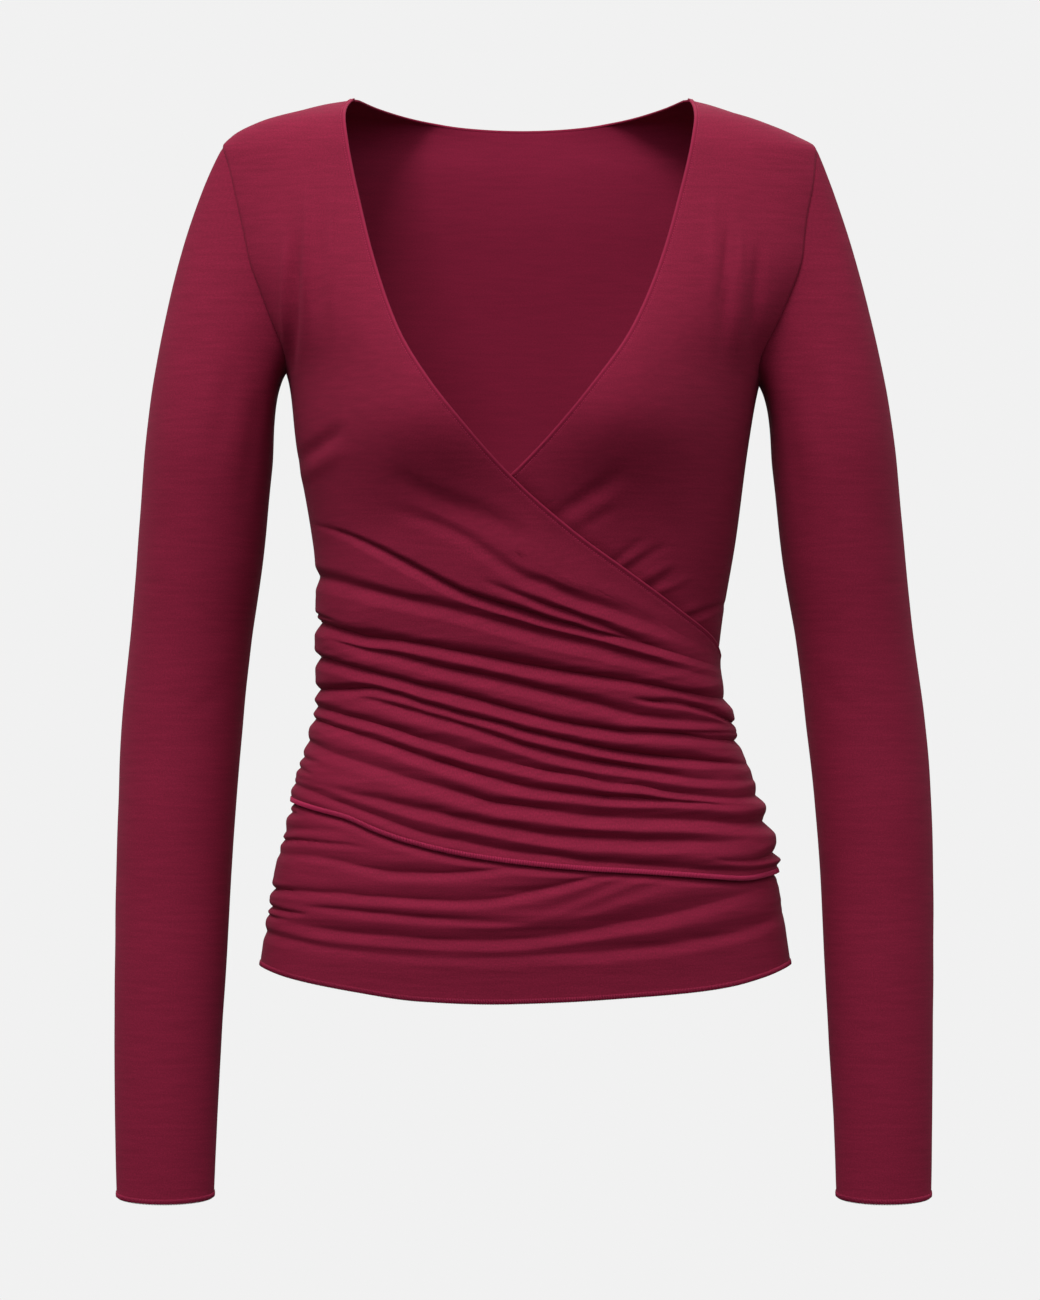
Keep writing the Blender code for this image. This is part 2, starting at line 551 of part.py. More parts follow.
def cloth(name, outer, inner, closed=False):
    """A wall of cloth between two grids of points, as one closed object."""
    rows, columns = outer.shape[:2]
    count = rows * columns
    flat = outer.reshape(-1, 3)
    faces = []
    for r in range(rows - 1):
        for c in range(columns if closed else columns - 1):
            a, b = r * columns + c, r * columns + (c + 1) % columns
            d, e = a + columns, b + columns
            if np.linalg.norm(flat[a] - flat[e]) < np.linalg.norm(flat[b] - flat[d]):
                halves = [a, d, e], [a, e, b]
            else:
                halves = [a, d, b], [b, d, e]
            for half in halves:
                faces += [half, [corner + count for corner in reversed(half)]]
    rims = [list(range(columns)), list(range((rows - 1) * columns, count))]
    if closed:
        rims = [rim + rim[:1] for rim in rims]
    else:
        rims += [list(range(0, count, columns)), list(range(columns - 1, count, columns))]
    for rim, turned in zip(rims, (False, True, True, False)):
        for a, b in zip(rim, rim[1:]):
            side = [a, b, b + count, a + count]
            faces.append(side[::-1] if turned else side)
    first = outer[-1, 0], outer[-2, 0], outer[-1, 1]
    way = np.cross(first[2] - first[0], first[1] - first[0])
    if (way * (outer[-1, 0] - inner[-1, 0])).sum() < 0:
        faces = [face[::-1] for face in faces]
    mesh = bpy.data.meshes.new(name)
    mesh.from_pydata((np.vstack([flat, inner.reshape(-1, 3)]) * MM).tolist(), [], faces)
    mesh.update()
    mesh.shade_smooth()
    mesh.set_sharp_from_angle(angle=np.radians(60))
    mesh.materials.append(jersey(name + "_jersey"))
    piece = bpy.data.objects.new(name, mesh)
    bpy.context.scene.collection.objects.link(piece)
    return piece


def main():
    for old in list(bpy.data.objects):
        bpy.data.objects.remove(old, do_unlink=True)

    angle, height, folds = front_panel("left", UNDER_EDGE, UNDER_CREASES, UNDER_FULLNESS)
    cloth("left_front", *wall(angle, height, under_offset(angle, height, folds)))

    angle, height, folds = front_panel("right", OVER_EDGE, OVER_CREASES, OVER_FULLNESS)
    cloth("right_front", *wall(angle, height, over_offset(angle, height, folds)))

    cloth("back", *wall(*build_back(), centre=180))
    for side in ("right", "left"):
        cloth(side + "_sleeve", *sleeve(side), closed=True)


main()
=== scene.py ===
# %% [markdown]
# # A wrap jacket in crimson jersey
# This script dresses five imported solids: a back, a left front that lies under, a right front
# that laps over it, and two long sleeves. The solids already have the true size and form, so
# every cloth shell here is worked out on the same form, only finer, with each crease,
# seam and overlocked edge that the sewn garment shows.

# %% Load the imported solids
from collections import namedtuple

import bpy
import numpy as np
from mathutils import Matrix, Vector
from mathutils.kdtree import KDTree


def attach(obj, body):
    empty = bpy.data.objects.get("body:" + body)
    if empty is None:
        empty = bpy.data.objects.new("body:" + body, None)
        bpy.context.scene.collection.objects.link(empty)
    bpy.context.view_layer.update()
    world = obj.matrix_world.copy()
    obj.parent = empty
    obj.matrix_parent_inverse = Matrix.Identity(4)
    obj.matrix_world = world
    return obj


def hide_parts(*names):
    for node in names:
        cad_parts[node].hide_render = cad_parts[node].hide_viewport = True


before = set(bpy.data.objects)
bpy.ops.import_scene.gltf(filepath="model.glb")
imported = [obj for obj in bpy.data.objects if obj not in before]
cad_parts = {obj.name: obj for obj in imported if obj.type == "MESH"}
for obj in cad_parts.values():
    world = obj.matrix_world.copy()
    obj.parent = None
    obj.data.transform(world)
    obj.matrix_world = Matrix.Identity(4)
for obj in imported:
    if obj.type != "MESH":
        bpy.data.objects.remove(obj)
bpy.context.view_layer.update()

# %% [markdown]
# ## Curves from short tables
# A maker keeps a garment's sizes as a short list: so wide here, so deep there. A smooth curve
# through such a list could be a Bezier, but those overshoot between points that lie close.
# A monotone curve never bulges past its own table, so that is what every table here uses.

# %% Smooth curves through a table
MM = 0.001


def through(places, values, at):
    """Smooth curve through the values at rising places, with no overshoot."""
    places = np.asarray(places, float)
    values = np.asarray(values, float)
    slope = np.diff(values) / np.diff(places)
    turning = slope[1:] * slope[:-1] <= 0
    total = np.where(turning, 1.0, slope[1:] + slope[:-1])
    inner = np.where(turning, 0.0, 2 * slope[1:] * slope[:-1] / total)
    tangent = np.concatenate([slope[:1], inner, slope[-1:]])
    at = np.clip(np.asarray(at, float), places[0], places[-1])
    i = np.clip(np.searchsorted(places, at) - 1, 0, len(places) - 2)
    step = places[i + 1] - places[i]
    t = (at - places[i]) / step
    start = (2 * t**3 - 3 * t**2 + 1) * values[i] + (t**3 - 2 * t**2 + t) * step * tangent[i]
    end = (3 * t**2 - 2 * t**3) * values[i + 1] + (t**3 - t**2) * step * tangent[i + 1]
    return start + end


def ease(value):
    """Ramp from 0 to 1 with soft ends."""
    value = np.clip(value, 0.0, 1.0)
    return value * value * (3 - 2 * value)


def unit(vectors):
    """Vectors of length one."""
    return vectors / np.linalg.norm(vectors, axis=-1, keepdims=True)


# %% [markdown]
# ## The form under the cloth
# Worn cloth takes its shape from what fills it. A scan of a body could give that, but a general
# figure needs only a row for each level: how far it reaches to each side, to the front and
# to the back, and how square it is in front and behind. All sizes are in millimetres, below
# the neck points. Below the shoulders the curves are averaged over a few millimetres, because
# the eye sees the slightest change of bend in a plain cloth.

# %% Figure of the trunk
Level = namedtuple("Level", "height right left front back square back_square")
LEVELS = (
    Level(0, 101.0, 99.0, 6, 8, 1.80, 2.10),            # neck points
    Level(-3, 119.0, 111.0, 17, 48, 1.80, 2.10),
    Level(-9, 139.0, 127.0, 30, 79, 1.80, 2.10),
    Level(-16, 159.0, 145.0, 39, 78.5, 1.80, 2.10),     # back neck
    Level(-24, 173.5, 163.0, 45, 78.5, 1.82, 2.05),
    Level(-33, 181.0, 177.5, 50, 78.5, 1.85, 1.95),     # shoulder points
    Level(-60, 184.0, 184.0, 62, 80, 1.95, 2.00),
    Level(-95, 180.0, 183.0, 77, 84, 2.05, 2.08),       # across the chest
    Level(-130, 163.0, 167.0, 89, 88, 2.15, 2.15),
    Level(-165, 140.0, 142.0, 96, 90.5, 2.25, 2.25),    # underarm
    Level(-205, 133.5, 134.0, 98, 92, 2.30, 2.30),      # full bust
    Level(-265, 123.0, 126.0, 90, 86, 2.30, 2.30),
    Level(-320, 116.5, 117.0, 82, 72, 2.30, 2.30),
    Level(-350, 115.5, 114.5, 80, 68, 2.30, 2.30),      # waist
    Level(-385, 121.5, 119.5, 81.5, 74, 2.30, 2.30),
    Level(-420, 133.5, 135.0, 84.5, 85, 2.30, 2.30),
    Level(-460, 143.0, 146.5, 87, 97, 2.30, 2.30),      # high hip
    Level(-500, 152.5, 155.5, 87.5, 104, 2.28, 2.28),
    Level(-545, 160.0, 163.0, 86, 107, 2.25, 2.25),     # below the hem
)
BUST_SIDE, BUST_HEIGHT, BUST_DEPTH = 60, -188, 20
BUST_WIDE, BUST_ABOVE, BUST_BELOW = 46, 62, 41
AVERAGE_BELOW = -60      # the level below which the sizes are averaged up and down
AVERAGE_GROWTH = 6       # the reach grows by one in this many millimetres of depth
AVERAGE_OVER = 9         # up to this
AVERAGE_WEIGHTS = {-1.0: 0.12, -0.5: 0.22, 0.0: 0.32, 0.5: 0.22, 1.0: 0.12}


def level_size(column, height):
    """Size of the figure at a height, averaged over a few millimetres below the shoulders."""
    places = [-row.height for row in LEVELS]
    sizes = [getattr(row, column) for row in LEVELS]
    height = np.asarray(height, float)
    reach = np.clip((AVERAGE_BELOW - height) / AVERAGE_GROWTH, 0, AVERAGE_OVER)
    return sum(w * through(places, sizes, -height + k * reach) for k, w in AVERAGE_WEIGHTS.items())


def figure(angle, height):
    """Point of the figure: the angle is 0 at the centre front and 90 at the left side."""
    angle, height = np.broadcast_arrays(np.asarray(angle, float), np.asarray(height, float))
    sine, cosine = np.sin(np.radians(angle)), np.cos(np.radians(angle))
    half = np.where(sine < 0, level_size("right", height), level_size("left", height))
    front_square, back_square = level_size("square", height), level_size("back_square", height)
    square = np.where(cosine > 0, front_square, back_square)
    x = half * sine
    y = np.clip(1 - np.abs(sine)**square, 0, 1)**(1 / square)
    up_or_down = np.where(height > BUST_HEIGHT, BUST_ABOVE, BUST_BELOW)
    away = ((np.abs(x) - BUST_SIDE) / BUST_WIDE)**2 + ((height - BUST_HEIGHT) / up_or_down)**2
    bust = BUST_DEPTH * np.exp(-away) * np.sqrt(np.clip(cosine, 0, 1))
    front, back = level_size("front", height), level_size("back", height)
    y = np.where(cosine > 0, -front * y - bust, back * y)
    return np.stack([x, y, height], axis=-1)


def outward(angle, height):
    """Unit normal of the figure."""
    turn, drop = 1.0, 1.0
    top = np.minimum(np.asarray(height, float) + drop, 0.0)
    round_it = figure(angle + turn, height) - figure(angle - turn, height)
    down_it = figure(angle, height - drop) - figure(angle, top)
    return unit(np.cross(down_it, round_it))


def round_the_trunk(angle, height):
    """Unit direction of growing angle."""
    return unit(figure(angle + 1.0, height) - figure(angle - 1.0, height))


def angle_at(side, height):
    """Angle of the front point whose distance from the centre line is side."""
    side = np.asarray(side, float)
    half = np.where(side < 0, level_size("right", height), level_size("left", height))
    return np.degrees(np.arcsin(np.clip(side / half, -1, 1)))


for level_name, level_height in (("bust", BUST_HEIGHT), ("waist", -350), ("hip", -500)):
    ring = figure(np.arange(0, 361, 2), level_height)
    print(level_name, "round", round(np.linalg.norm(np.diff(ring, axis=0), axis=1).sum()), "mm")

# %% [markdown]
# ## How a fold is shaped
# Gathered jersey hangs in lobes. Each lobe swells out from the crease above it and tucks in
# under itself at the crease below, so its underside lies in shade. A bump map could fake the
# shade, but not the notched outline at the side seams. So each crease here is a row in a table,
# with its place, level and depth listed, and the cloth is carved by it. The lean lets every
# lobe sag over the crease below it, as gravity does.

# %% Creases
# lit is the height of the upward face below a crease, and soft says how round its bottom is. Each
# row of its line gives a place across, -1 to 1, how far below the neck points the crease lies
# there, how deep it is, and how tall its shaded underside looks.
Crease = namedtuple("Crease", "name lit soft line")
LEAN = 0.62              # how far a lobe sags for each millimetre that it stands out
SHADE_SPREAD = 1.1       # the turned-in face is this much taller than the shade that it shows
SHARE_POWER = 3.0        # how sharply the deeper of two creases that meet wins


def carve(creases, place, height):
    """How deep the creases cut in at each place across, -1 to 1, and height."""
    total = np.zeros(np.broadcast(place, height).shape)
    for crease in creases:
        at, down, depth, shade = (np.array(column, float) for column in zip(*crease.line))
        deep = through(at, depth, place)
        from_crease = height + through(at, down, place)
        underside = SHADE_SPREAD * through(at, shade, place) + LEAN * deep
        share = np.where(from_crease > 0, from_crease / underside, -from_crease / crease.lit)
        left = np.clip(1 - share, 0, 1)
        cut = deep * ((1 - crease.soft) * left**2 + crease.soft * ease(left))
        total = (total**SHARE_POWER + cut**SHARE_POWER)**(1 / SHARE_POWER)
    return total


# %% [markdown]
# ## Soft drags and small ripples
# Besides its creases, jersey has shallow troughs where a seam or an edge pulls at it, and a
# slight unevenness everywhere. Both could be sculpted by hand, but a list of straight strokes
# and one small table of seeded numbers give the same result each time the script runs.

# %% Strokes and ripples
Stroke = namedtuple("Stroke", "start end wide deep")  # a soft trough between two (side, height) points
STROKE_FADE = 0.4        # share of a stroke's length over which each of its ends fades
RIPPLE_ROWS, RIPPLE_COLUMNS = 64, 24
RIPPLES = np.random.default_rng(7).uniform(-1, 1, (RIPPLE_ROWS, RIPPLE_COLUMNS))


def stroke_relief(strokes, side, height):
    """Sum of soft straight troughs; a negative depth makes a ridge."""
    total = np.zeros(np.broadcast(side, height).shape)
    for stroke in strokes:
        (x0, z0), (x1, z1) = stroke.start, stroke.end
        length = np.hypot(x1 - x0, z1 - z0)
        along = ((side - x0) * (x1 - x0) + (height - z0) * (z1 - z0)) / length
        aside = ((side - x0) * (z1 - z0) - (height - z0) * (x1 - x0)) / length
        end = STROKE_FADE * length
        fade = ease(along / end) * ease((length - along) / end)
        total = total + stroke.deep * fade * np.exp(-(aside / stroke.wide)**2)
    return total


def ripples(across, down):
    """Soft uneven ripples, -1 to 1: one unit of each direction is one ripple."""
    i, j = np.floor(across).astype(int), np.floor(down).astype(int)
    s, t = ease(across - i), ease(down - j)

    def at(a, b):
        return RIPPLES[(j + b) % RIPPLE_ROWS, (i + a) % RIPPLE_COLUMNS]

    return (1 - t) * ((1 - s) * at(0, 0) + s * at(1, 0)) + t * ((1 - s) * at(0, 1) + s * at(1, 1))


print("ripples from", round(RIPPLES.min(), 3), "to", round(RIPPLES.max(), 3))

# %% [markdown]
# ## The right front, which laps over
# This is one wide piece of jersey. Its neck edge crosses the body to the far side seam, and both
# side seams are sewn up shorter than the cloth, so the folds fan out from them. It could be
# draped by simulation, but the folds here are known one by one. So the piece is a fine grid
# whose rows run along its main creases, which keeps every crease crisp.

# %% Neck edges of both fronts
Edge = namedtuple("Edge", "height side")
OVER_EDGE = (
    Edge(0, -101), Edge(-5, -104.5), Edge(-12, -105.7), Edge(-30, -103.5), Edge(-46, -100.5),
    Edge(-66, -96), Edge(-103, -86.6), Edge(-145, -71.6), Edge(-175, -53.8), Edge(-204, -30.7),
    Edge(-230, -6.4), Edge(-263, 31), Edge(-285, 61), Edge(-306, 89), Edge(-326, 112), Edge(-335, 116),
)
UNDER_EDGE = (
    Edge(0, 99), Edge(-5, 101.5), Edge(-12, 102), Edge(-30, 99.5), Edge(-60, 92.5), Edge(-103, 80.1),
    Edge(-145, 62.3), Edge(-180, 37.8), Edge(-209, 13), Edge(-230, -8), Edge(-263, -42),
    Edge(-295, -79), Edge(-322, -108), Edge(-333, -115.5),
)
print("the right neck edge ends at", OVER_EDGE[-1], "and the left one at", UNDER_EDGE[-1])

# %% Creases of the right front
OVER_CREASES = (
    Crease("under the bust", 12, 1, (
        (-.62, 228, 0, 8), (-.5, 234, .6, 9), (-.38, 243, 1.0, 10), (-.25, 250, 1.2, 10),
        (-.12, 256, 1.1, 10), (0, 262, .7, 9), (.1, 268, 0, 8))),
    Crease("bust drag", 7, .8, (
        (-.62, 249, 0, 6), (-.5, 253, .6, 7), (-.38, 258, 1.0, 7), (-.25, 266, 1.1, 7),
        (-.12, 277, 1.2, 7), (0, 286, 1.6, 6), (.12, 291.5, 2.2, 6), (.25, 299, 2.8, 7),
        (.38, 304, 3.0, 7), (.5, 309, 2.7, 8), (.62, 314, 2.2, 7), (.75, 320, 1.5, 6), (.9, 327, 0, 5))),
    Crease("second drag", 4, .3, (
        (-.2, 287, 0, 4), (-.12, 291, .9, 4), (0, 297, 1.6, 4), (.12, 303.5, 2.6, 5), (.25, 309, 3.0, 5),
        (.38, 315, 3.0, 6), (.5, 321, 2.4, 7), (.68, 329, 0, 7))),
    Crease("ribs", 4, .2, (
        (-1, 255, 0, 3), (-.88, 260.5, .9, 3.5), (-.75, 268, 2.4, 4), (-.62, 275.5, 3.2, 4.5),
        (-.5, 283, 3.8, 4.5), (-.25, 298, 4.0, 5), (0, 308, 4.6, 5), (.12, 312.5, 4.4, 4.5),
        (.25, 316.5, 4.0, 5), (.38, 320.5, 3.4, 5), (.5, 323, 3.0, 7), (.62, 326.5, 2.8, 8),
        (.75, 331, 2.4, 8), (.88, 336, 1.6, 7), (1, 341, .6, 6))),
    Crease("waist top", 6, .6, (
        (-1, 288, 2.8, 7), (-.88, 291, 3.0, 7), (-.75, 294.5, 3.0, 7), (-.62, 298, 2.8, 6),
        (-.38, 304.5, 2.6, 7), (-.25, 309, 2.8, 8), (-.12, 313.5, 3.2, 8), (0, 318, 3.6, 8),
        (.12, 321.5, 3.6, 7), (.38, 328.5, 3.4, 7), (.5, 332, 2.8, 5), (.75, 338.5, 1.5, 4),
        (1, 347, .6, 4))),
    Crease("first pinch", 4.5, .2, (
        (-1, 314, 5.0, 5), (-.88, 319, 5.0, 7), (-.75, 323.5, 4.8, 9), (-.62, 324.5, 3.6, 7),
        (-.5, 326.5, 3.2, 6), (-.38, 329.5, 3.2, 7), (-.25, 333, 3.8, 8), (-.12, 336.5, 4.2, 9),
        (0, 339.5, 4.4, 9), (.12, 341.5, 4.0, 7), (.38, 346, 3.4, 6), (.5, 348, 3.2, 6),
        (.62, 350, 2.8, 5), (.75, 353, 2.8, 4), (.88, 356.5, 3.4, 6), (1, 359.5, 5.2, 12))),
    Crease("pinch tail", 3, 0, (
        (-1, 308, 2.2, 3), (-.94, 309.5, 1.4, 2), (-.86, 311.5, 0, 2))),
    Crease("left pinch", 5, .3, (
        (-.97, 318, 0, 4), (-.88, 323.5, 1.2, 4), (-.75, 329.5, 2.6, 4.5), (-.62, 333, 3.2, 5),
        (-.5, 337, 3.4, 5), (-.38, 341, 3.6, 6), (-.25, 344.5, 4.0, 6), (0, 351.5, 4.0, 6),
        (.12, 355, 4.0, 6), (.25, 359, 4.0, 7), (.38, 362.5, 3.8, 7), (.5, 367, 3.4, 8),
        (.62, 369.5, 3.2, 7), (.75, 371, 3.0, 7), (.88, 371.5, 2.2, 5), (1, 374, .6, 3))),
    Crease("far tuck", 3, 0, (
        (.52, 356.5, 0, 3), (.62, 359, 2.0, 3), (.75, 361, 3.0, 6), (.88, 365.5, 3.4, 6),
        (1, 373, 3.2, 2))),
    Crease("second pinch", 5, .2, (
        (-1, 333.5, 4.6, 4), (-.88, 338.5, 4.0, 5), (-.75, 343, 3.6, 5), (-.62, 347, 3.4, 5),
        (-.5, 351.5, 3.6, 5), (-.38, 355, 3.8, 6), (-.25, 359, 3.8, 6), (0, 367, 3.6, 5),
        (.25, 374, 3.6, 5), (.38, 376.5, 3.6, 5), (.5, 378.5, 3.4, 4), (.62, 379, 3.6, 4),
        (.75, 380, 3.8, 4), (.88, 382.5, 2.8, 5), (1, 384.5, 3.4, 4))),
    Crease("second tuck", 3, 0, (
        (.68, 378, 0, 2), (.8, 377.5, 1.6, 2), (1, 378, .6, 2))),
    Crease("waist", 4.5, .15, (
        (-1, 353.5, 3.6, 5), (-.88, 354, 4.4, 7), (-.75, 352.5, 3.4, 4), (-.62, 356, 3.0, 4),
        (-.5, 361, 3.4, 4), (-.38, 365, 3.4, 4), (-.25, 369.5, 3.4, 4), (-.12, 373, 3.4, 4),
        (0, 377.5, 3.6, 4), (.12, 381, 3.8, 4), (.25, 385, 4.0, 5), (.38, 389, 4.6, 5), (.5, 392, 5.2, 6),
        (.62, 394, 5.4, 6), (.75, 395.5, 5.0, 7), (.88, 397, 3.6, 4), (1, 399, .4, 3))),
    Crease("below waist", 5, .25, (
        (-.84, 356, 0, 4), (-.75, 358, 1.2, 4), (-.62, 363, 2.6, 5), (-.5, 367.5, 3.4, 5),
        (-.25, 376, 3.4, 5), (0, 386.5, 3.8, 5), (.12, 390.5, 4.0, 5), (.25, 395, 4.4, 6),
        (.38, 398, 5.0, 5), (.5, 400.5, 4.8, 5), (.62, 403, 4.0, 6), (.75, 406.5, 3.2, 8),
        (.88, 408, 2.2, 8), (1, 409, 1.6, 6))),
    Crease("high belly", 5, .35, (
        (-1, 364, 2.8, 5), (-.88, 368.5, 3.6, 5.5), (-.75, 372.5, 3.4, 5.5), (-.62, 377, 3.4, 6),
        (-.5, 382, 3.4, 7), (-.38, 386, 3.4, 9), (-.25, 391, 3.6, 10), (-.12, 395, 3.8, 10),
        (0, 398.5, 3.6, 9), (.12, 401.5, 3.2, 6), (.25, 404, 3.0, 6), (.38, 408, 3.0, 7),
        (.5, 409.5, 3.0, 6), (.62, 413.5, 3.2, 6), (.75, 416, 3.4, 6), (.88, 418, 3.4, 6),
        (1, 418.5, 5.2, 9))),
    Crease("third pinch", 4, .2, (
        (-1, 372, 3.4, 4), (-.88, 377, 3.6, 6), (-.75, 382, 3.8, 6.5), (-.62, 387, 4.0, 7),
        (-.5, 392.5, 4.2, 7), (-.38, 397, 4.4, 7), (-.25, 402, 4.4, 7), (-.12, 407, 4.4, 9),
        (0, 411, 4.4, 8), (.12, 413.5, 4.2, 7), (.25, 415.5, 4.2, 6), (.38, 417.5, 4.6, 5),
        (.5, 418.2, 4.4, 4), (.62, 419, 3.2, 3), (.75, 420, 2.4, 3), (.88, 421.5, 1.2, 3),
        (1, 422.5, .6, 3))),
    Crease("pinch line", 2, 0, (
        (-1, 373.5, 1.4, 1.5), (-.95, 376, 1.2, 1.5), (-.9, 379, .8, 1.5), (-.84, 382, 0, 1.5))),
    Crease("belly", 6, .45, (
        (-1, 384.5, 2.4, 4), (-.88, 391, 2.4, 6), (-.75, 396, 2.4, 7), (-.62, 401, 2.6, 8),
        (-.5, 406, 2.8, 8), (-.38, 410, 3.0, 7), (-.25, 415, 3.4, 6), (-.12, 420, 3.6, 6),
        (0, 422, 3.6, 6), (.12, 424.5, 3.8, 7), (.25, 427.5, 4.0, 9), (.38, 429, 4.0, 9),
        (.62, 430, 4.0, 9), (.75, 431, 4.0, 8), (.88, 433, 4.4, 7), (1, 434, 6.6, 8))),
    Crease("short side tuck", 3, 0, (
        (-1, 395, 2.4, 4), (-.95, 396, 1.4, 3), (-.9, 396.5, 0, 3))),
    Crease("lower side tuck", 3, 0, (
        (-1, 401.5, 2.2, 3), (-.95, 403, 1.0, 2), (-.91, 404, 0, 2))),
    Crease("low belly", 6, .45, (
        (-1, 407, 1.4, 3), (-.88, 409.5, .6, 3), (-.8, 412, .9, 4), (-.75, 414, 1.5, 4),
        (-.62, 418, 2.6, 6), (-.5, 422, 3.0, 6), (-.38, 425, 3.2, 6), (-.25, 429.5, 3.4, 6),
        (0, 436, 3.8, 6), (.12, 439, 4.0, 7), (.25, 440.5, 4.0, 7), (.38, 441.5, 3.8, 7),
        (.5, 442, 3.6, 6), (.62, 442, 3.2, 6), (.75, 442, 2.2, 5), (.9, 441, 0, 4))),
    Crease("last fold", 5, .35, (
        (-1, 411, 2.8, 4), (-.88, 416, 2.8, 6), (-.75, 422, 3.0, 7), (-.62, 428, 3.2, 8),
        (-.5, 434, 3.4, 9), (-.38, 439, 3.4, 9), (-.25, 442.5, 3.6, 9), (-.12, 446.5, 3.8, 9),
        (0, 449, 3.6, 8), (.12, 450.5, 3.4, 7), (.25, 453.5, 3.2, 7), (.38, 455, 3.2, 8),
        (.5, 456.5, 3.0, 8), (.62, 458, 2.8, 9), (.75, 459.5, 2.4, 8), (.88, 460, 2.2, 7),
        (1, 459.5, 2.8, 6))),
    Crease("last tuck", 3, 0, (
        (.72, 450, 0, 3), (.82, 453.5, 1.4, 3), (.9, 454, 2.6, 4), (1, 452.5, 5.8, 9))),
)
OVER_GUIDES = ("ribs", "first pinch", "second pinch", "waist", "high belly", "belly", "last fold")
ABOVE_FOLDS = ((-1, 235), (-.5, 250), (-.25, 262), (0, 276), (.25, 292), (.5, 303), (.75, 323), (1, 338))
OVER_LOWER_EDGE = ((-1, 421.5), (-.88, 425.5), (-.75, 429.5), (-.62, 436.5), (-.5, 442), (-.25, 450),
                   (0, 455), (.25, 458.5), (.5, 461), (.75, 464.5), (.86, 466), (1, 463.5))
print("right front", len(OVER_CREASES), "creases")

# %% Fullness and drags of the right front
OVER_FULLNESS = ((-1, 5.6), (-.5, 4.8), (0, 4.8), (.5, 5.0), (1, 7.4))
FULL_LINE = ((-1, 330), (-.5, 304), (0, 300), (.5, 318), (1, 368))     # where the fullness is reached
FOLDS_START = 62         # height over which the fullness rises to that
FLAT_BELOW_EDGE = 35     # the over front lies flat this far below its neck edge
MIDDLE_DEEPER = 0.30     # how much deeper the creases are cut away from the side seams
OVER_RIPPLE = 0.2        # depth of its ripples
EDGE_REST = 0.6          # share of the fullness lost where the lower edge rests
REST_HEIGHT = 10         # height over which it is lost
CLOTH = 1.0              # thickness of the shells made here
LAYERS = 0.6             # gap between the under front and the over front
LIFT_TOP = -168          # the over front starts to clear the under one here, below the armhole
LIFT_HEIGHT = 54         # and clears it by a whole layer this far below
CHEST_STROKES = (
    Stroke((-127, -46), (-127, -156), 1.7, -2.0), Stroke((-112, -30), (-113, -156), 2.2, -1.4),
    Stroke((-133, -74), (-135, -172), 2.8, 3.6), Stroke((-139.5, -82), (-140, -160), 1.7, -1.8),
    Stroke((-119.5, -60), (-120.5, -150), 2.4, 1.1), Stroke((-134, -220), (-98, -198), 3.4, 2.0),
    Stroke((-134, -230), (-96, -210), 4, -1.2), Stroke((120, -72), (115, -166), 2.4, 1.9),
    Stroke((139, -84), (133, -168), 3.8, 2.4), Stroke((128, -76), (124, -166), 2.4, -1.4),
    Stroke((112, -50), (110, -140), 3.0, -.8),
)
print(len(CHEST_STROKES), "drags on the chest")

# %% [markdown]
# ## Laying a grid over a pattern piece
# A front has a shoulder, an armhole, a side seam, a lower edge and a long slanted neck edge. It
# could be cut out of a bigger sheet, but that leaves ragged edges. Here the grid is stretched
# between the four sides of the piece, so its border is the seam line itself, and below the
# first crease its rows follow the creases. The rows lie closer there than in the plain cloth
# above, because a crease needs many to look crisp, and a smooth bust needs few.

# %% Lines on the figure
CROWDING = 0.35          # how much closer the columns lie at the side seams
STRAIGHT_TOP = -16       # the neck edge is followed more finely above this level


def spread(count):
    """Places from 0 to 1 that lie closer together at both ends."""
    even = np.linspace(0, 1, count)
    return even - CROWDING * np.sin(2 * np.pi * even) / (2 * np.pi)


def line_height(line, place):
    """Height of a crease's line at each place across."""
    return -through([point[0] for point in line], [point[1] for point in line], place)


def across_at(angle):
    """Place across the front, -1 at the right side to 1 at the left one."""
    return np.sin(np.radians(angle))


def edge_line(edge):
    """Many close points of angle and height along a neck edge."""
    top = np.linspace(0, STRAIGHT_TOP, 60)
    height = np.concatenate([top, np.linspace(STRAIGHT_TOP - 0.5, edge[-1].height, 300)])
    side = through([-row.height for row in edge], [row.side for row in edge], -height)
    return angle_at(side, height), height


def below_edge(edge, angle, height):
    """How far a point of a front lies below the front's neck edge."""
    edge_angle, edge_height = edge_line(edge)
    order = np.argsort(edge_angle)
    return np.interp(angle, edge_angle[order], edge_height[order]) - height


def evenly(angle, height, count):
    """Count points spaced evenly along a line on the figure, given by many close ones."""
    steps = np.linalg.norm(np.diff(figure(angle, height), axis=0), axis=1)
    length = np.concatenate([[0.0], np.cumsum(steps)])
    at = np.linspace(0, length[-1], count)
    return np.interp(at, length, angle), np.interp(at, length, height)


def patch(top, bottom, first, last, across):
    """Fill between four lines of angle and height; top and bottom run from first to last."""
    across = across[None, :]
    down = np.linspace(0, 1, len(first[0]))[:, None]
    filled = []
    for t, b, f, l in zip(top, bottom, first, last):
        t, b, f, l = (np.asarray(line, float) for line in (t, b, f, l))
        sides = (1 - across) * f[:, None] + across * l[:, None]
        ends = (1 - down) * t[None, :] + down * b[None, :]
        corners = ((1 - across) * (1 - down) * t[0] + across * (1 - down) * t[-1]
                   + (1 - across) * down * b[0] + across * down * b[-1])
        filled.append(sides + ends - corners)
    return filled


print("right neck edge", round(np.ptp(edge_line(OVER_EDGE)[1])), "mm high, left one",
      round(np.ptp(edge_line(UNDER_EDGE)[1])), "mm")

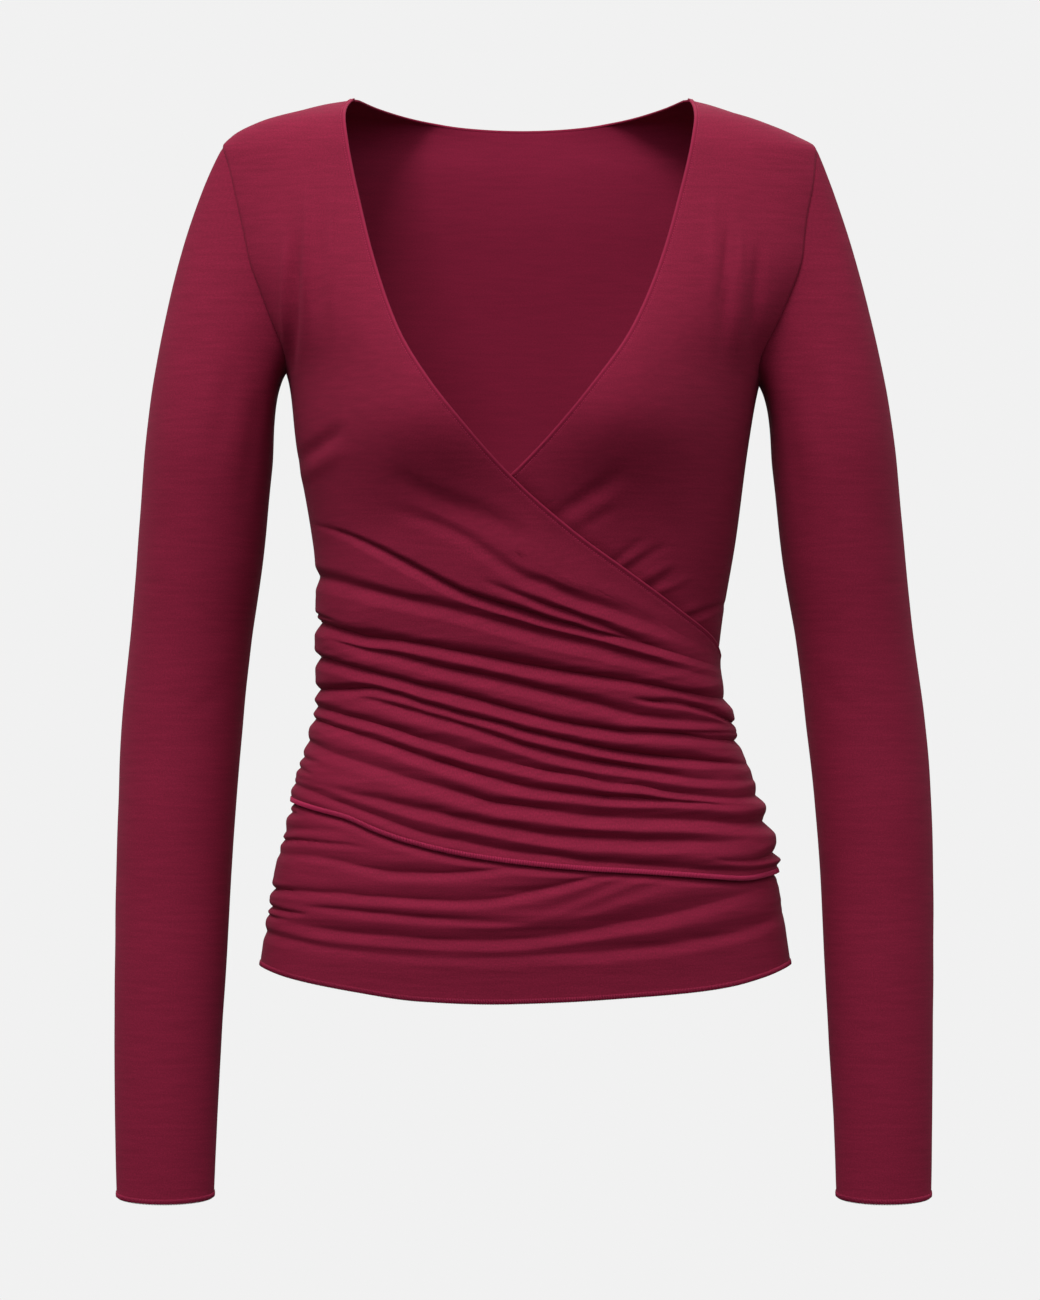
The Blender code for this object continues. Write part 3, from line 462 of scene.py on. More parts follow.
# %% Armholes and shoulder seams
SHOULDER_HEIGHT = -30
UNDERARM_HEIGHT = {"right": -163.5, "left": -171.0}
ARMHOLE_REACH = 25       # degrees that the loop runs forward and back of the side
ARMHOLE_ROUNDNESS = 0.8


def armhole(side, turn):
    """Angle and height on the armhole; turn is 0 at the shoulder and 180 under the arm."""
    turn = np.radians(np.asarray(turn, float))
    low = UNDERARM_HEIGHT[side]
    height = (SHOULDER_HEIGHT + low) / 2 + (SHOULDER_HEIGHT - low) / 2 * np.cos(turn)
    angle = 90 - ARMHOLE_REACH * np.sign(np.sin(turn)) * np.abs(np.sin(turn))**ARMHOLE_ROUNDNESS
    return (-angle if side == "right" else angle), height


def shoulder_heights(side, place):
    """Heights of points on a shoulder seam, from its shoulder point to its neck point."""
    ridge = np.linspace(SHOULDER_HEIGHT, 0, 90)
    reach = level_size(side, ridge)
    return np.interp(-(reach[0] + (reach[-1] - reach[0]) * place), -reach, ridge)


for side in ("right", "left"):
    hole = figure(*armhole(side, np.arange(0, 361, 5)))
    print(side, "armhole", round(np.linalg.norm(np.diff(hole, axis=0), axis=1).sum()), "mm round")

# %% Grids that fit the pattern pieces
LEAST_STEP = 0.05        # rows of a yoke never come closer than this to each other


def front_grid(side, edge, guides, row_heights, columns, armhole_rows, side_rows):
    """Angles and heights of a front: a yoke down to the first guide, then rows along the guides."""
    sign = -1 if side == "right" else 1
    across = spread(columns)
    angles = sign * 90 * (1 - 2 * across)
    lines = [line_height(line, across_at(angles)) for line in guides]
    rows = [lines[0]]
    for upper, lower, row_height in zip(lines, lines[1:], row_heights):
        count = max(2, int(round((upper - lower).max() / row_height)))
        rows += [upper + (lower - upper) * step / count for step in range(1, count + 1)]
    heights = np.array(rows)
    shoulder = (np.full(columns, sign * 90.0), shoulder_heights(side, across))
    hole = armhole(side, np.linspace(0, 180, armhole_rows + 1))
    seam = np.linspace(UNDERARM_HEIGHT[side], heights[0][0], side_rows + 1)[1:]
    outer = (np.append(hole[0], np.full(side_rows, angles[0])), np.append(hole[1], seam))
    neck_rows = len(outer[0])
    neck_angle, neck_height = edge_line(edge)
    neck_angle, neck_height = np.append(neck_angle, angles[-1]), np.append(neck_height, heights[0][-1])
    inner = evenly(neck_angle, neck_height, neck_rows)
    yoke = patch(shoulder, (angles, heights[0]), outer, inner, across)
    rows_left = np.arange(neck_rows)[::-1, None]
    first_guide = line_height(guides[0], across_at(yoke[0]))
    yoke[1] = np.maximum(yoke[1], first_guide + LEAST_STEP * rows_left)
    return (np.vstack([yoke[0][:-1], np.broadcast_to(angles, heights.shape)]),
            np.vstack([yoke[1][:-1], heights]), neck_rows)


# %% How far the right front stands off the figure
OVER_ROW_HEIGHT = 1.05


def over_offset(angle, height):
    """Lift and folds of the over front: smooth over the bust, flat below its neck edge, then folded."""
    place = across_at(angle)
    full = through(*zip(*OVER_FULLNESS), place)
    rising = ease(1 - (height - line_height(FULL_LINE, place)) / FOLDS_START)
    folds = full * rising - carve(OVER_CREASES, place, height) * (1 + MIDDLE_DEEPER * (1 - place**4))
    folds = folds + OVER_RIPPLE * rising * ripples(place * 6 + height / 70, (height - 20 * place) / 3.0)
    lower = line_height(OVER_LOWER_EDGE, place)
    folds = folds * (1 - EDGE_REST * ease(1 - (height - lower) / REST_HEIGHT))
    loose = ease(below_edge(OVER_EDGE, angle, height) / FLAT_BELOW_EDGE)
    lift = (CLOTH + LAYERS) * ease((LIFT_TOP - height) / LIFT_HEIGHT)
    side = figure(angle, height)[..., 0]
    return lift, folds * loose - stroke_relief(CHEST_STROKES, side, height)


over_guides = [crease.line for name in OVER_GUIDES for crease in OVER_CREASES if crease.name == name]
over_guides = [ABOVE_FOLDS] + over_guides + [OVER_LOWER_EDGE]
over_row_heights = [OVER_ROW_HEIGHT] * (len(over_guides) - 1)
over_angle, over_height, over_neck_rows = front_grid(
    "right", OVER_EDGE, over_guides, over_row_heights, columns=160, armhole_rows=50, side_rows=24)
print("right front grid", over_angle.shape)

# %% [markdown]
# ## The left front, which lies under
# Only its bust and the band below the wrap show. Between them it is pressed flat by the layer
# over it, so nothing pokes through. The band has its own long folds, which sweep
# the other way, and short soft ones run out from under the neck edge.

# %% Creases of the left front
UNDER_CREASES = (
    Crease("first wrap fold", 3, 0, (
        (-1, 428, 3.4, 4), (-.94, 427.5, 1.6, 3), (-.88, 428, 0, 3))),
    Crease("edge fold", 4, .3, (
        (-1, 439, 2.2, 6), (-.93, 436.5, 1.6, 4), (-.8, 435.5, .8, 3), (-.66, 436, 0, 3))),
    Crease("thin fold", 3, 0, (
        (-1, 444.5, 2.8, 3.5), (-.93, 443, 2.4, 2.5), (-.75, 443.5, 1.6, 2), (-.6, 445.5, 0, 2))),
    Crease("short wrap fold", 4, .15, (
        (-1, 452, 1.2, 5), (-.88, 451.5, 1.6, 5), (-.75, 454, 2.6, 6), (-.62, 458, 3.4, 8),
        (-.5, 460.5, 4.0, 8), (-.38, 460.5, 4.0, 7), (-.25, 459.5, 3.6, 5), (-.12, 457.5, 2.8, 3),
        (0, 455.5, 1.2, 2), (.1, 453, 0, 2))),
    Crease("long wrap fold", 4, .1, (
        (-1, 474, 3.4, 3), (-.88, 473, 2.8, 5), (-.75, 473, 3.0, 7), (-.62, 474, 3.2, 8),
        (-.5, 475, 3.4, 9), (-.38, 476, 3.6, 10), (-.25, 476.5, 3.8, 11), (-.12, 475.5, 4.0, 11),
        (0, 472, 4.2, 9), (.12, 468, 4.0, 7), (.25, 463, 3.4, 3), (.33, 460.5, 2.4, 2), (.45, 456, 0, 2))),
    Crease("first fan", 5, 1, (
        (.02, 483, 0, 6), (.12, 479, .9, 6), (.25, 472, 1.3, 6), (.38, 464, 1.3, 5), (.5, 459, 0, 4))),
    Crease("second fan", 5, 1, (
        (.12, 487, 0, 6), (.25, 480, .9, 6), (.38, 473, 1.1, 6), (.5, 467, .9, 5), (.6, 463, 0, 4))),
    Crease("hip pinch", 3, 0, (
        (-1, 485, 3.4, 3), (-.9, 485.5, 2.0, 2), (-.82, 485.5, 0, 2))),
    Crease("hip fold", 4, .3, (
        (-.86, 480.5, 0, 2), (-.75, 481.5, 1.8, 2.5), (-.62, 483, 2.4, 3), (-.5, 484.5, 2.8, 4.5),
        (-.38, 486, 2.8, 5.5), (-.25, 487, 2.4, 6), (-.12, 488, 1.8, 7), (.05, 487, 0, 8))),
    Crease("low pinch", 3, 0, (
        (-1, 489.5, 2.2, 2.5), (-.93, 490, 1.0, 2), (-.87, 490.5, 0, 2))),
    Crease("hip sweep", 7, .5, (
        (-.95, 491, 0, 4), (-.85, 493, 1.4, 5), (-.75, 495, 2.4, 6), (-.62, 497, 2.8, 7),
        (-.5, 498, 3.0, 8), (-.25, 500, 3.2, 9), (-.12, 500, 3.4, 10), (0, 499, 3.6, 10),
        (.12, 497, 3.8, 11), (.25, 494, 4.0, 11), (.38, 490, 4.0, 11), (.5, 487, 3.8, 12),
        (.62, 483, 3.4, 12), (.75, 478, 2.4, 10), (.88, 473, 1.0, 8), (1, 469, .2, 6))),
    Crease("low sweep", 6, .5, (
        (-1, 500, 2.8, 4), (-.88, 502.5, 2.2, 4), (-.75, 505.5, 2.0, 4), (-.62, 507, 1.8, 5),
        (-.5, 508.5, 1.6, 6), (-.25, 510, 1.4, 7), (0, 509, 1.6, 7), (.12, 508, 2.4, 8),
        (.25, 507.5, 3.0, 10), (.38, 506, 3.2, 10), (.5, 504.5, 3.2, 10), (.62, 502, 3.2, 10),
        (.75, 499, 3.0, 10), (.88, 495, 2.4, 10), (.96, 490, 1.2, 9), (1, 488, .8, 8))),
)
print("left front", len(UNDER_CREASES), "creases")

# %% Guide lines, fullness and neck runs of the left front
ABOVE_RUNS = ((-1, 337), (-.5, 300), (0, 250), (.25, 244), (.5, 246), (1, 250))
WRAP_LINE = ((-1, 345), (-.5, 330), (0, 300), (.5, 300), (1, 330))
COVERED_LINE = ((-1, 413), (-.5, 433), (0, 446), (.5, 450), (1, 450))
BAND_LINE = ((-1, 474), (-.5, 476), (0, 474), (.5, 474), (1, 474))
SWEEP_LINE = ((-1, 490), (-.5, 498), (0, 499), (.5, 487), (1, 482))
HEM_LINE = ((-1, 519.5), (-.88, 524.3), (-.62, 531), (-.38, 535.8), (-.12, 537.2), (.12, 536.2),
            (.38, 533.8), (.62, 531.2), (.75, 528.8), (.88, 524.4), (1, 518.8))
UNDER_FULLNESS = ((-1, 4.0), (-.5, 4.2), (0, 4.4), (.5, 4.0), (1, 2.6))
UNDER_DEEPER = -0.22     # the under front's creases are shallower away from the side seams
UNDER_RIPPLE = 0.2
HEM_REST = 0.95          # share of the fullness and of the creases that is lost at the hem
FULL_ABOVE_HEM = 64      # height above the hem at which the fullness is whole
CREASED_ABOVE_HEM = 34   # and the creases
SHOWS_ABOVE = 5          # the folds start this far above the over front's lower edge
SHOWS_HEIGHT = 10        # and stand out in full this far below
PRESSED_IN = 2.6         # how far the over front presses the under one into the figure
PRESSED_HEIGHT = 20      # height below the neck edge over which it is pressed in
PRESSED_AT_EDGE = 0.4    # how far it is already pressed in at that edge
RUN_UNDER_EDGE = 12      # the runs end this far under the over front
NECK_STROKES = (         # short runs of the under front, from beneath the neck edge outwards
    Stroke((8, -263), (66, -221), 5.5, 1.5), Stroke((14, -262), (64, -234), 4, -.5),
    Stroke((26, -266), (58, -245), 3.2, .5), Stroke((44, -287), (74, -262), 2.2, .7),
    Stroke((46, -289), (74, -269), 1.8, -.5), Stroke((51, -290), (88, -266), 2.4, .8),
    Stroke((57, -296), (91, -277), 2.4, -.7), Stroke((65, -301), (90, -282), 1.8, .9),
    Stroke((67, -302), (101, -286), 1.9, -.8), Stroke((83, -314), (108, -302), 2.1, -.5),
    Stroke((84, -317), (126, -301), 1.8, 1.1), Stroke((87, -320), (118, -307), 2.1, -.5),
)
print(len(NECK_STROKES), "short runs under the neck edge")

# %% How far the left front stands off the figure
RUN_ROW_HEIGHT, COVERED_ROW_HEIGHT, BAND_ROW_HEIGHT = 1.6, 4, 1.25


def under_offset(angle, height):
    """Lift and folds of the under front: pressed flat where covered, folded below that."""
    place = across_at(angle)
    cover = line_height(OVER_LOWER_EDGE, place)
    shows = ease((cover + SHOWS_ABOVE - height) / SHOWS_HEIGHT)
    below = below_edge(OVER_EDGE, angle, height)
    above_hem = height - line_height(HEM_LINE, place)
    full = through(*zip(*UNDER_FULLNESS), place) * (1 - HEM_REST * ease(1 - above_hem / FULL_ABOVE_HEM))
    creases = carve(UNDER_CREASES, place, height) * (1 + UNDER_DEEPER * (1 - place**4))
    creases = creases - UNDER_RIPPLE * ripples(place * 5 + height / 60, height / 3.4)
    folds = full - creases * (1 - HEM_REST * ease(1 - above_hem / CREASED_ABOVE_HEM))
    side = figure(angle, height)[..., 0]
    runs = stroke_relief(NECK_STROKES, side, height) * ease(1 - below / RUN_UNDER_EDGE)
    runs = runs + stroke_relief(CHEST_STROKES, side, height)
    pressed = PRESSED_IN * ease(below / PRESSED_HEIGHT + PRESSED_AT_EDGE) * (1 - shows)
    return -pressed, folds * shows - runs * (1 - shows)


under_guides = [ABOVE_RUNS, WRAP_LINE, COVERED_LINE, BAND_LINE, SWEEP_LINE, HEM_LINE]
under_row_heights = [RUN_ROW_HEIGHT, COVERED_ROW_HEIGHT] + [BAND_ROW_HEIGHT] * 3
under_angle, under_height, under_neck_rows = front_grid(
    "left", UNDER_EDGE, under_guides, under_row_heights, columns=185, armhole_rows=50, side_rows=18)
print("left front grid", under_angle.shape)

# %% [markdown]
# ## The back
# The back is one plain piece, but it is sewn to the gathered fronts, so the same gathers start
# at its side seams. Copying the front's folds all the way across would look false. Each one
# runs in slanting and fades after its own length, and the small of the back has a few
# long soft creases, as close jersey does there.

# %% Shape of the back
GATHER_SLANT = 0.16      # how fast the gathers fall towards the middle
GATHER_REACH = (26, 62)  # shortest and longest run of a gather, in degrees
BACK_RIPPLE = 0.15
SEAM_STEP = 0.6          # step of height at which the fronts' folds are read down a side seam
SEAM_START, SEAM_END = -150.0, -540.0  # between these heights
BODY_STEPS = 30          # steps up and down over which they are averaged to the seam's main form
CREASES_TOP = -200       # the back's own creases start below this height
CREASES_RISE = 60        # and are whole this far below
CREASES_END = 0.2        # share of the half width over which they end at a side seam
BACK_CREASES = (
    Crease("small of the back", 12, 1, (
        (-.75, 318, 0, 8), (-.3, 326, 1.4, 9), (.2, 327, 1.6, 10), (.7, 320, 0, 8))),
    Crease("waist back", 10, 1, (
        (-.85, 342, 0, 7), (-.4, 351, 1.6, 9), (0, 354, 1.9, 9), (.3, 352, 1.4, 8), (.62, 346, 0, 7))),
    Crease("hip back", 11, 1, (
        (-.5, 378, 0, 8), (-.1, 384, 1.3, 9), (.4, 381, 1.5, 9), (.85, 370, 0, 7))),
    Crease("shoulder blades", 16, 1, (
        (-.7, 250, 0, 12), (-.35, 262, 1.0, 12), (-.05, 268, 0, 12))),
    Crease("lower left", 9, 1, (
        (-.95, 430, 0, 7), (-.6, 441, 1.4, 8), (-.25, 446, 0, 8))),
    Crease("lower right", 9, 1, (
        (.3, 421, 0, 8), (.6, 418, 1.4, 8), (.95, 408, 0, 7))),
)
print("back", len(BACK_CREASES), "creases")

# %% How far the back stands off the figure
def seam_profile(side):
    """Heights and offsets of the outermost front down a side seam."""
    seam_angle = -90.0 if side == "right" else 90.0
    height = np.arange(SEAM_START, SEAM_END, -SEAM_STEP)
    lower = line_height(OVER_LOWER_EDGE, across_at(seam_angle))
    over = sum(over_offset(np.full(height.shape, seam_angle), height))
    under = sum(under_offset(np.full(height.shape, seam_angle), height))
    top = height > (OVER_EDGE[-1].height if side == "left" else 0)
    return height, np.where((height < lower) | top, under, over)


def back_offset(angle, height):
    """The back: the fronts' folds at the seams, fading inwards, and a few long creases."""
    offset = np.zeros_like(height)
    window = 2 * BODY_STEPS + 1
    for side, seam in (("right", 270), ("left", 90)):
        seam_height, seam_out = seam_profile(side)
        inwards = np.abs(angle - seam)
        level = height + GATHER_SLANT * inwards
        uneven = 0.5 + 0.5 * ripples(level / 9 + seam, level / 11 + seam)
        reach = GATHER_REACH[0] + (GATHER_REACH[1] - GATHER_REACH[0]) * uneven
        padded = np.pad(seam_out, BODY_STEPS, mode="edge")
        main_form = np.convolve(padded, np.ones(window) / window, mode="valid")
        detail = np.interp(-level, -seam_height, seam_out - main_form)
        body = np.interp(-level, -seam_height, main_form)
        offset = offset + detail * ease(1 - inwards / reach) + body * ease(1 - inwards / GATHER_REACH[1])
    place = (angle - 180) / 90
    relief = carve(BACK_CREASES, place, height) + BACK_RIPPLE * ripples(place * 5 + height / 50, height / 6)
    relief = relief * ease((1 - np.abs(place)) / CREASES_END)
    return offset - relief * ease((CREASES_TOP - height) / CREASES_RISE)


for side in ("right", "left"):
    print(side, "side seam stands off by up to", round(seam_profile(side)[1].max(), 1), "mm")

# %% Grid of the back
BACK_NECK_DROP = 11.6    # how far the back neck dips below the neck points
BACK_HEM_CENTRE = -529
SHOULDER_SHARE = 0.24    # share of the top line that each shoulder seam takes


def back_top(across):
    """Top line of the back: right shoulder seam, back neck, left shoulder seam."""
    right = np.clip(across / SHOULDER_SHARE, 0, 1)
    left = np.clip((1 - across) / SHOULDER_SHARE, 0, 1)
    neck = np.clip((across - SHOULDER_SHARE) / (1 - 2 * SHOULDER_SHARE), 0, 1)
    neck_right, neck_left = level_size("right", 0.0), level_size("left", 0.0)
    neck_side = -neck_right + neck * (neck_right + neck_left)
    neck_height = -BACK_NECK_DROP * (1 - (neck_side / np.where(neck_side < 0, neck_right, neck_left))**2)
    on_neck = (neck > 0) & (neck < 1)
    on_right = across < 0.5
    seam_height = np.where(on_right, shoulder_heights("right", right), shoulder_heights("left", left))
    seam_angle = np.where(on_right, 270.0, 90.0)
    angle = np.where(on_neck, 180 - angle_at(neck_side, neck_height), seam_angle)
    return angle, np.where(on_neck, neck_height, seam_height), on_neck


def back_grid(columns, hole_rows, seam_rows):
    """Angles and heights of the back; columns run from the right side to the left."""
    across = spread(columns)
    share = 2 * across - 1
    lines = {}
    for side, seam, hem in (("right", 270.0, HEM_LINE[0][1]), ("left", 90.0, HEM_LINE[-1][1])):
        angle, height = armhole(side, np.linspace(360, 180, hole_rows + 1))
        angle = np.where(angle < 0, angle + 360, angle)
        down = np.linspace(UNDERARM_HEIGHT[side], -hem, seam_rows + 1)[1:]
        lines[side] = np.append(angle, np.full(seam_rows, seam)), np.append(height, down)
    top_angle, top_height, on_neck = back_top(across)
    hem = np.where(share < 0, -HEM_LINE[0][1], -HEM_LINE[-1][1])
    hem = BACK_HEM_CENTRE + (hem - BACK_HEM_CENTRE) * share**2
    hem_side = share * np.where(share < 0, level_size("right", hem), level_size("left", hem))
    borders = (top_angle, top_height), lines["right"], lines["left"]
    top, first, last = ((figure(*line)[..., 0], line[1]) for line in borders)
    side, height = patch(top, (hem_side, hem), first, last, across)
    angle = 180 - angle_at(side, height)
    angle[0], angle[:, 0], angle[:, -1] = top_angle, lines["right"][0], lines["left"][0]
    return angle, height, np.flatnonzero(on_neck)


back_angle, back_height, back_neck_columns = back_grid(columns=141, hole_rows=46, seam_rows=190)
print("back grid", back_angle.shape)

# %% [markdown]
# ## From a grid to a shell of cloth
# Real cloth has two faces and an edge. Blender's Solidify modifier could add the second face, but
# in deep folds its walls cross. Here the inner face is the outer one moved straight towards
# the figure, which can't cross it. Every point also keeps its place on the flat
# cloth in an attribute, so that the knit follows the folds and isn't painted through them.

# %% A closed shell from two grids of points
SHARP_EDGE = 70          # edges that bend by more degrees than this stay sharp


def lengths(points, axis):
    """Distance from the first row or column, along the grid."""
    steps = np.linalg.norm(np.diff(points, axis=axis), axis=-1)
    start = np.zeros_like(np.take(steps, [0], axis=axis))
    return np.concatenate([start, np.cumsum(steps, axis=axis)], axis=axis)


inner_faces = {}


def shell(name, outer, inner, down, closed=False):
    """A closed shell between two grids of points; down is each point's distance along the flat cloth."""
    rows, columns = outer.shape[:2]
    count = rows * columns
    index = np.arange(count).reshape(rows, columns)
    if closed:
        index = np.hstack([index, index[:, :1]])
    a, b, c, d = index[:-1, :-1], index[:-1, 1:], index[1:, 1:], index[1:, :-1]
    outside = np.stack([a, d, c, b], axis=-1).reshape(-1, 4)
    rims = [(index[0, :-1], index[0, 1:]), (index[-1, 1:], index[-1, :-1])]
    if not closed:
        rims += [(index[1:, 0], index[:-1, 0]), (index[:-1, -1], index[1:, -1])]
    sides = [np.stack([p, q, q + count, p + count], axis=-1) for p, q in rims]
    faces = np.vstack([outside, outside[:, ::-1] + count] + sides)
    inner_faces[name] = slice(len(outside), 2 * len(outside))
    row, column = rows // 2, columns // 2
    middle = outer[row, column]
    out = middle - inner[row, column]
    way = np.cross(outer[row + 1, column] - middle, outer[row, column + 1] - middle)
    if (way * out).sum() < 0:
        faces = faces[:, ::-1]
    points = np.vstack([outer.reshape(-1, 3), inner.reshape(-1, 3)]) * MM
    mesh = bpy.data.meshes.new(name)
    mesh.from_pydata(points.tolist(), [], faces.tolist())
    mesh.shade_smooth()
    mesh.set_sharp_from_angle(angle=np.radians(SHARP_EDGE))
    across = lengths(outer, 1)
    across = across - across[:, columns // 2][:, None]
    place = np.stack([across, down, np.zeros_like(down)], axis=-1).reshape(-1, 3) * MM
    cloth_place = mesh.attributes.new("cloth_place", "FLOAT_VECTOR", "POINT")
    cloth_place.data.foreach_set("vector", np.vstack([place, place]).astype(np.float32).ravel())
    piece = bpy.data.objects.new(name, mesh)
    bpy.context.scene.collection.objects.link(piece)
    print(name, len(faces) * 2, "triangles")
    return piece


# %% [markdown]
# ## Seams and the neck's sewn line
# Where two pieces are sewn together the cloth is drawn in a little, so a seam shows as a fine
# furrow. Beside the rolled neck edge a row of stitches presses a groove. A dark line in the
# material could stand for both, but it would not catch the light, so every point
# near a seam or near that row is moved in by a small amount.

# %% Panels on the figure
WALL = 1.6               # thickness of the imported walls
SEAM_GAP = 0.16
SEAM_DIP = 0.9           # how far a seam is drawn in
SEAM_WIDE = 2.6          # width of the furrow on each side of it
NECK_GROOVE = 0.3        # depth of the groove that the neck stitches press
NECK_LINE = 2.5          # its distance from the neck edge
NECK_GROOVE_WIDE = 0.55
SAG_TOP, SAG_HEIGHT = -225, 30         # the folds start to sag below the bust
WALL_HEIGHT = 16         # the shell reaches the wall's outer face this far below the neck points


def distance_to(points, line):
    """Distance of every grid point from a line of points."""
    steps = np.concatenate([[0], np.cumsum(np.linalg.norm(np.diff(line, axis=0), axis=1))])
    dense = np.stack([np.interp(np.arange(0, steps[-1], 0.5), steps, line[:, k]) for k in range(3)], axis=1)
    tree = KDTree(len(dense))
    for number, point in enumerate(dense):
        tree.insert(point, number)
    tree.balance()
    return np.array([tree.find(point)[2] for point in points.reshape(-1, 3)]).reshape(points.shape[:2])


def worn(angle, height, lift, folds, centre=0, neck=None):
    """Outer and inner points of a panel on the figure, drawn in at its seams."""
    on_seam = np.abs(angle - centre) >= 90 - 1e-6
    shift = on_seam * np.sign(centre - angle) * SEAM_GAP / 2
    normal = outward(angle, height)
    base = figure(angle, height) + round_the_trunk(angle, height) * shift[..., None]
    from_seam = np.minimum(lengths(base, 1), lengths(base[:, ::-1], 1)[:, ::-1])
    from_seam = np.minimum(from_seam, lengths(base, 0))
    dip = SEAM_DIP * np.clip(1 - from_seam / SEAM_WIDE, 0, 1)**2
    if neck is not None:
        from_neck = distance_to(base, base[neck])
        dip = np.where(from_neck < SEAM_WIDE, 0, dip)
        dip = dip + NECK_GROOVE * np.exp(-((from_neck - NECK_LINE) / NECK_GROOVE_WIDE)**2)
    sag = np.stack([0 * folds, 0 * folds, LEAN * ease((SAG_TOP - height) / SAG_HEIGHT)], axis=-1)
    on_figure = WALL * ease(-height / WALL_HEIGHT)
    outer = base + normal * (on_figure + lift + folds - dip)[..., None] - sag * folds[..., None]
    return outer, outer - (normal - sag) * CLOTH


# %% The two fronts and the back
over_neck = (slice(0, over_neck_rows), -1)
over_lift, over_folds = over_offset(over_angle, over_height)
right_outer, right_inner = worn(over_angle, over_height, over_lift, over_folds, neck=over_neck)
right_front = shell("wrap_front_right", right_outer, right_inner, -over_height)

under_neck = (slice(0, under_neck_rows), -1)
under_lift, under_folds = under_offset(under_angle, under_height)
left_outer, left_inner = worn(under_angle, under_height, under_lift, under_folds, neck=under_neck)
left_front = shell("wrap_front_left", left_outer, left_inner, -under_height)

back_neck = (0, slice(back_neck_columns[0], back_neck_columns[-1] + 1))
back_folds = back_offset(back_angle, back_height)
back_outer, back_inner = worn(back_angle, back_height, 0 * back_height, back_folds, 180, back_neck)
back = shell("plain_back", back_outer, back_inner, -back_height)

# %% [markdown]
# ## Sleeves
# A slim set-in sleeve is a tapered tube whose top is sewn into the armhole. It could start as a
# cylinder, but the cap has to leave the armhole in the right direction all round: steeply
# down at the shoulder and nearly level under the arm. Each ring is a blend from the armhole's
# own outline to the oval of the arm, and a few soft drags run down from the underarm.

# %% Sizes of the sleeves
Section = namedtuple("Section", "height centre_right wide_right centre_left wide_left deep forward")
SECTIONS = (
    Section(-222, 189.0, 38.6, 187.0, 37.4, 45, 0),      # upper arm
    Section(-277, 193.8, 37.9, 192.6, 36.9, 44, -3),
    Section(-325, 199.3, 36.5, 199.2, 35.4, 41, -4),
    Section(-373, 204.3, 36.4, 205.4, 35.8, 39, -3),     # elbow
    Section(-421, 207.2, 35.4, 209.8, 35.0, 38, 0),
    Section(-469, 209.3, 34.4, 212.0, 33.7, 35, 4),
    Section(-517, 210.6, 33.4, 212.8, 32.6, 32, 9),
    Section(-565, 212.0, 32.0, 213.6, 31.1, 28, 14),
    Section(-613, 212.8, 30.4, 214.6, 29.3, 24.5, 18),
    Section(-656, 213.0, 29.0, 214.8, 28.3, 21, 21),     # cuff
)
CAP_SLOPE = {"right": 60, "left": 66}  # degrees below level at which a sleeve leaves the shoulder
UNDERARM_SLOPE = 50      # and the underarm
CAP_LEAVES = 0.75        # how strongly the cap keeps to that slope
CAP_ARRIVES = 0.9        # and to the arm's own direction at its lower end
CUFF_TILT = 3            # how far the front of the cuff hangs below its back
TILT_TOP, TILT_HEIGHT = -560, 100      # where the tilt builds up
SLEEVE_RIPPLE = 0.12
PLAIN_CAP = 20           # drags and ripples build up over this length below the armhole
CAP_DIP = 0.25           # how far the cap is drawn in at its seam
RING_POINTS, CAP_RINGS, RING_STEP = 80, 56, 3.0
SLEEVE_STROKES = (       # (degrees round from the outside, height)
    Stroke((112, -150), (96, -232), 9, 0.9), Stroke((140, -165), (128, -262), 8, 0.8),
    Stroke((150, -345), (95, -372), 7, 0.5), Stroke((-140, -340), (-95, -362), 8, 0.7),
    Stroke((-118, -160), (-100, -240), 10, 0.9), Stroke((-150, -376), (-110, -392), 6, 0.6),
)


def section_size(column, height):
    """Size of the sleeve at a height."""
    return through([-row.height for row in SECTIONS], [getattr(row, column) for row in SECTIONS], -height)


print("elbow", 2 * section_size("wide_right", -373), "mm wide, cuff", 2 * section_size("wide_right", -656))


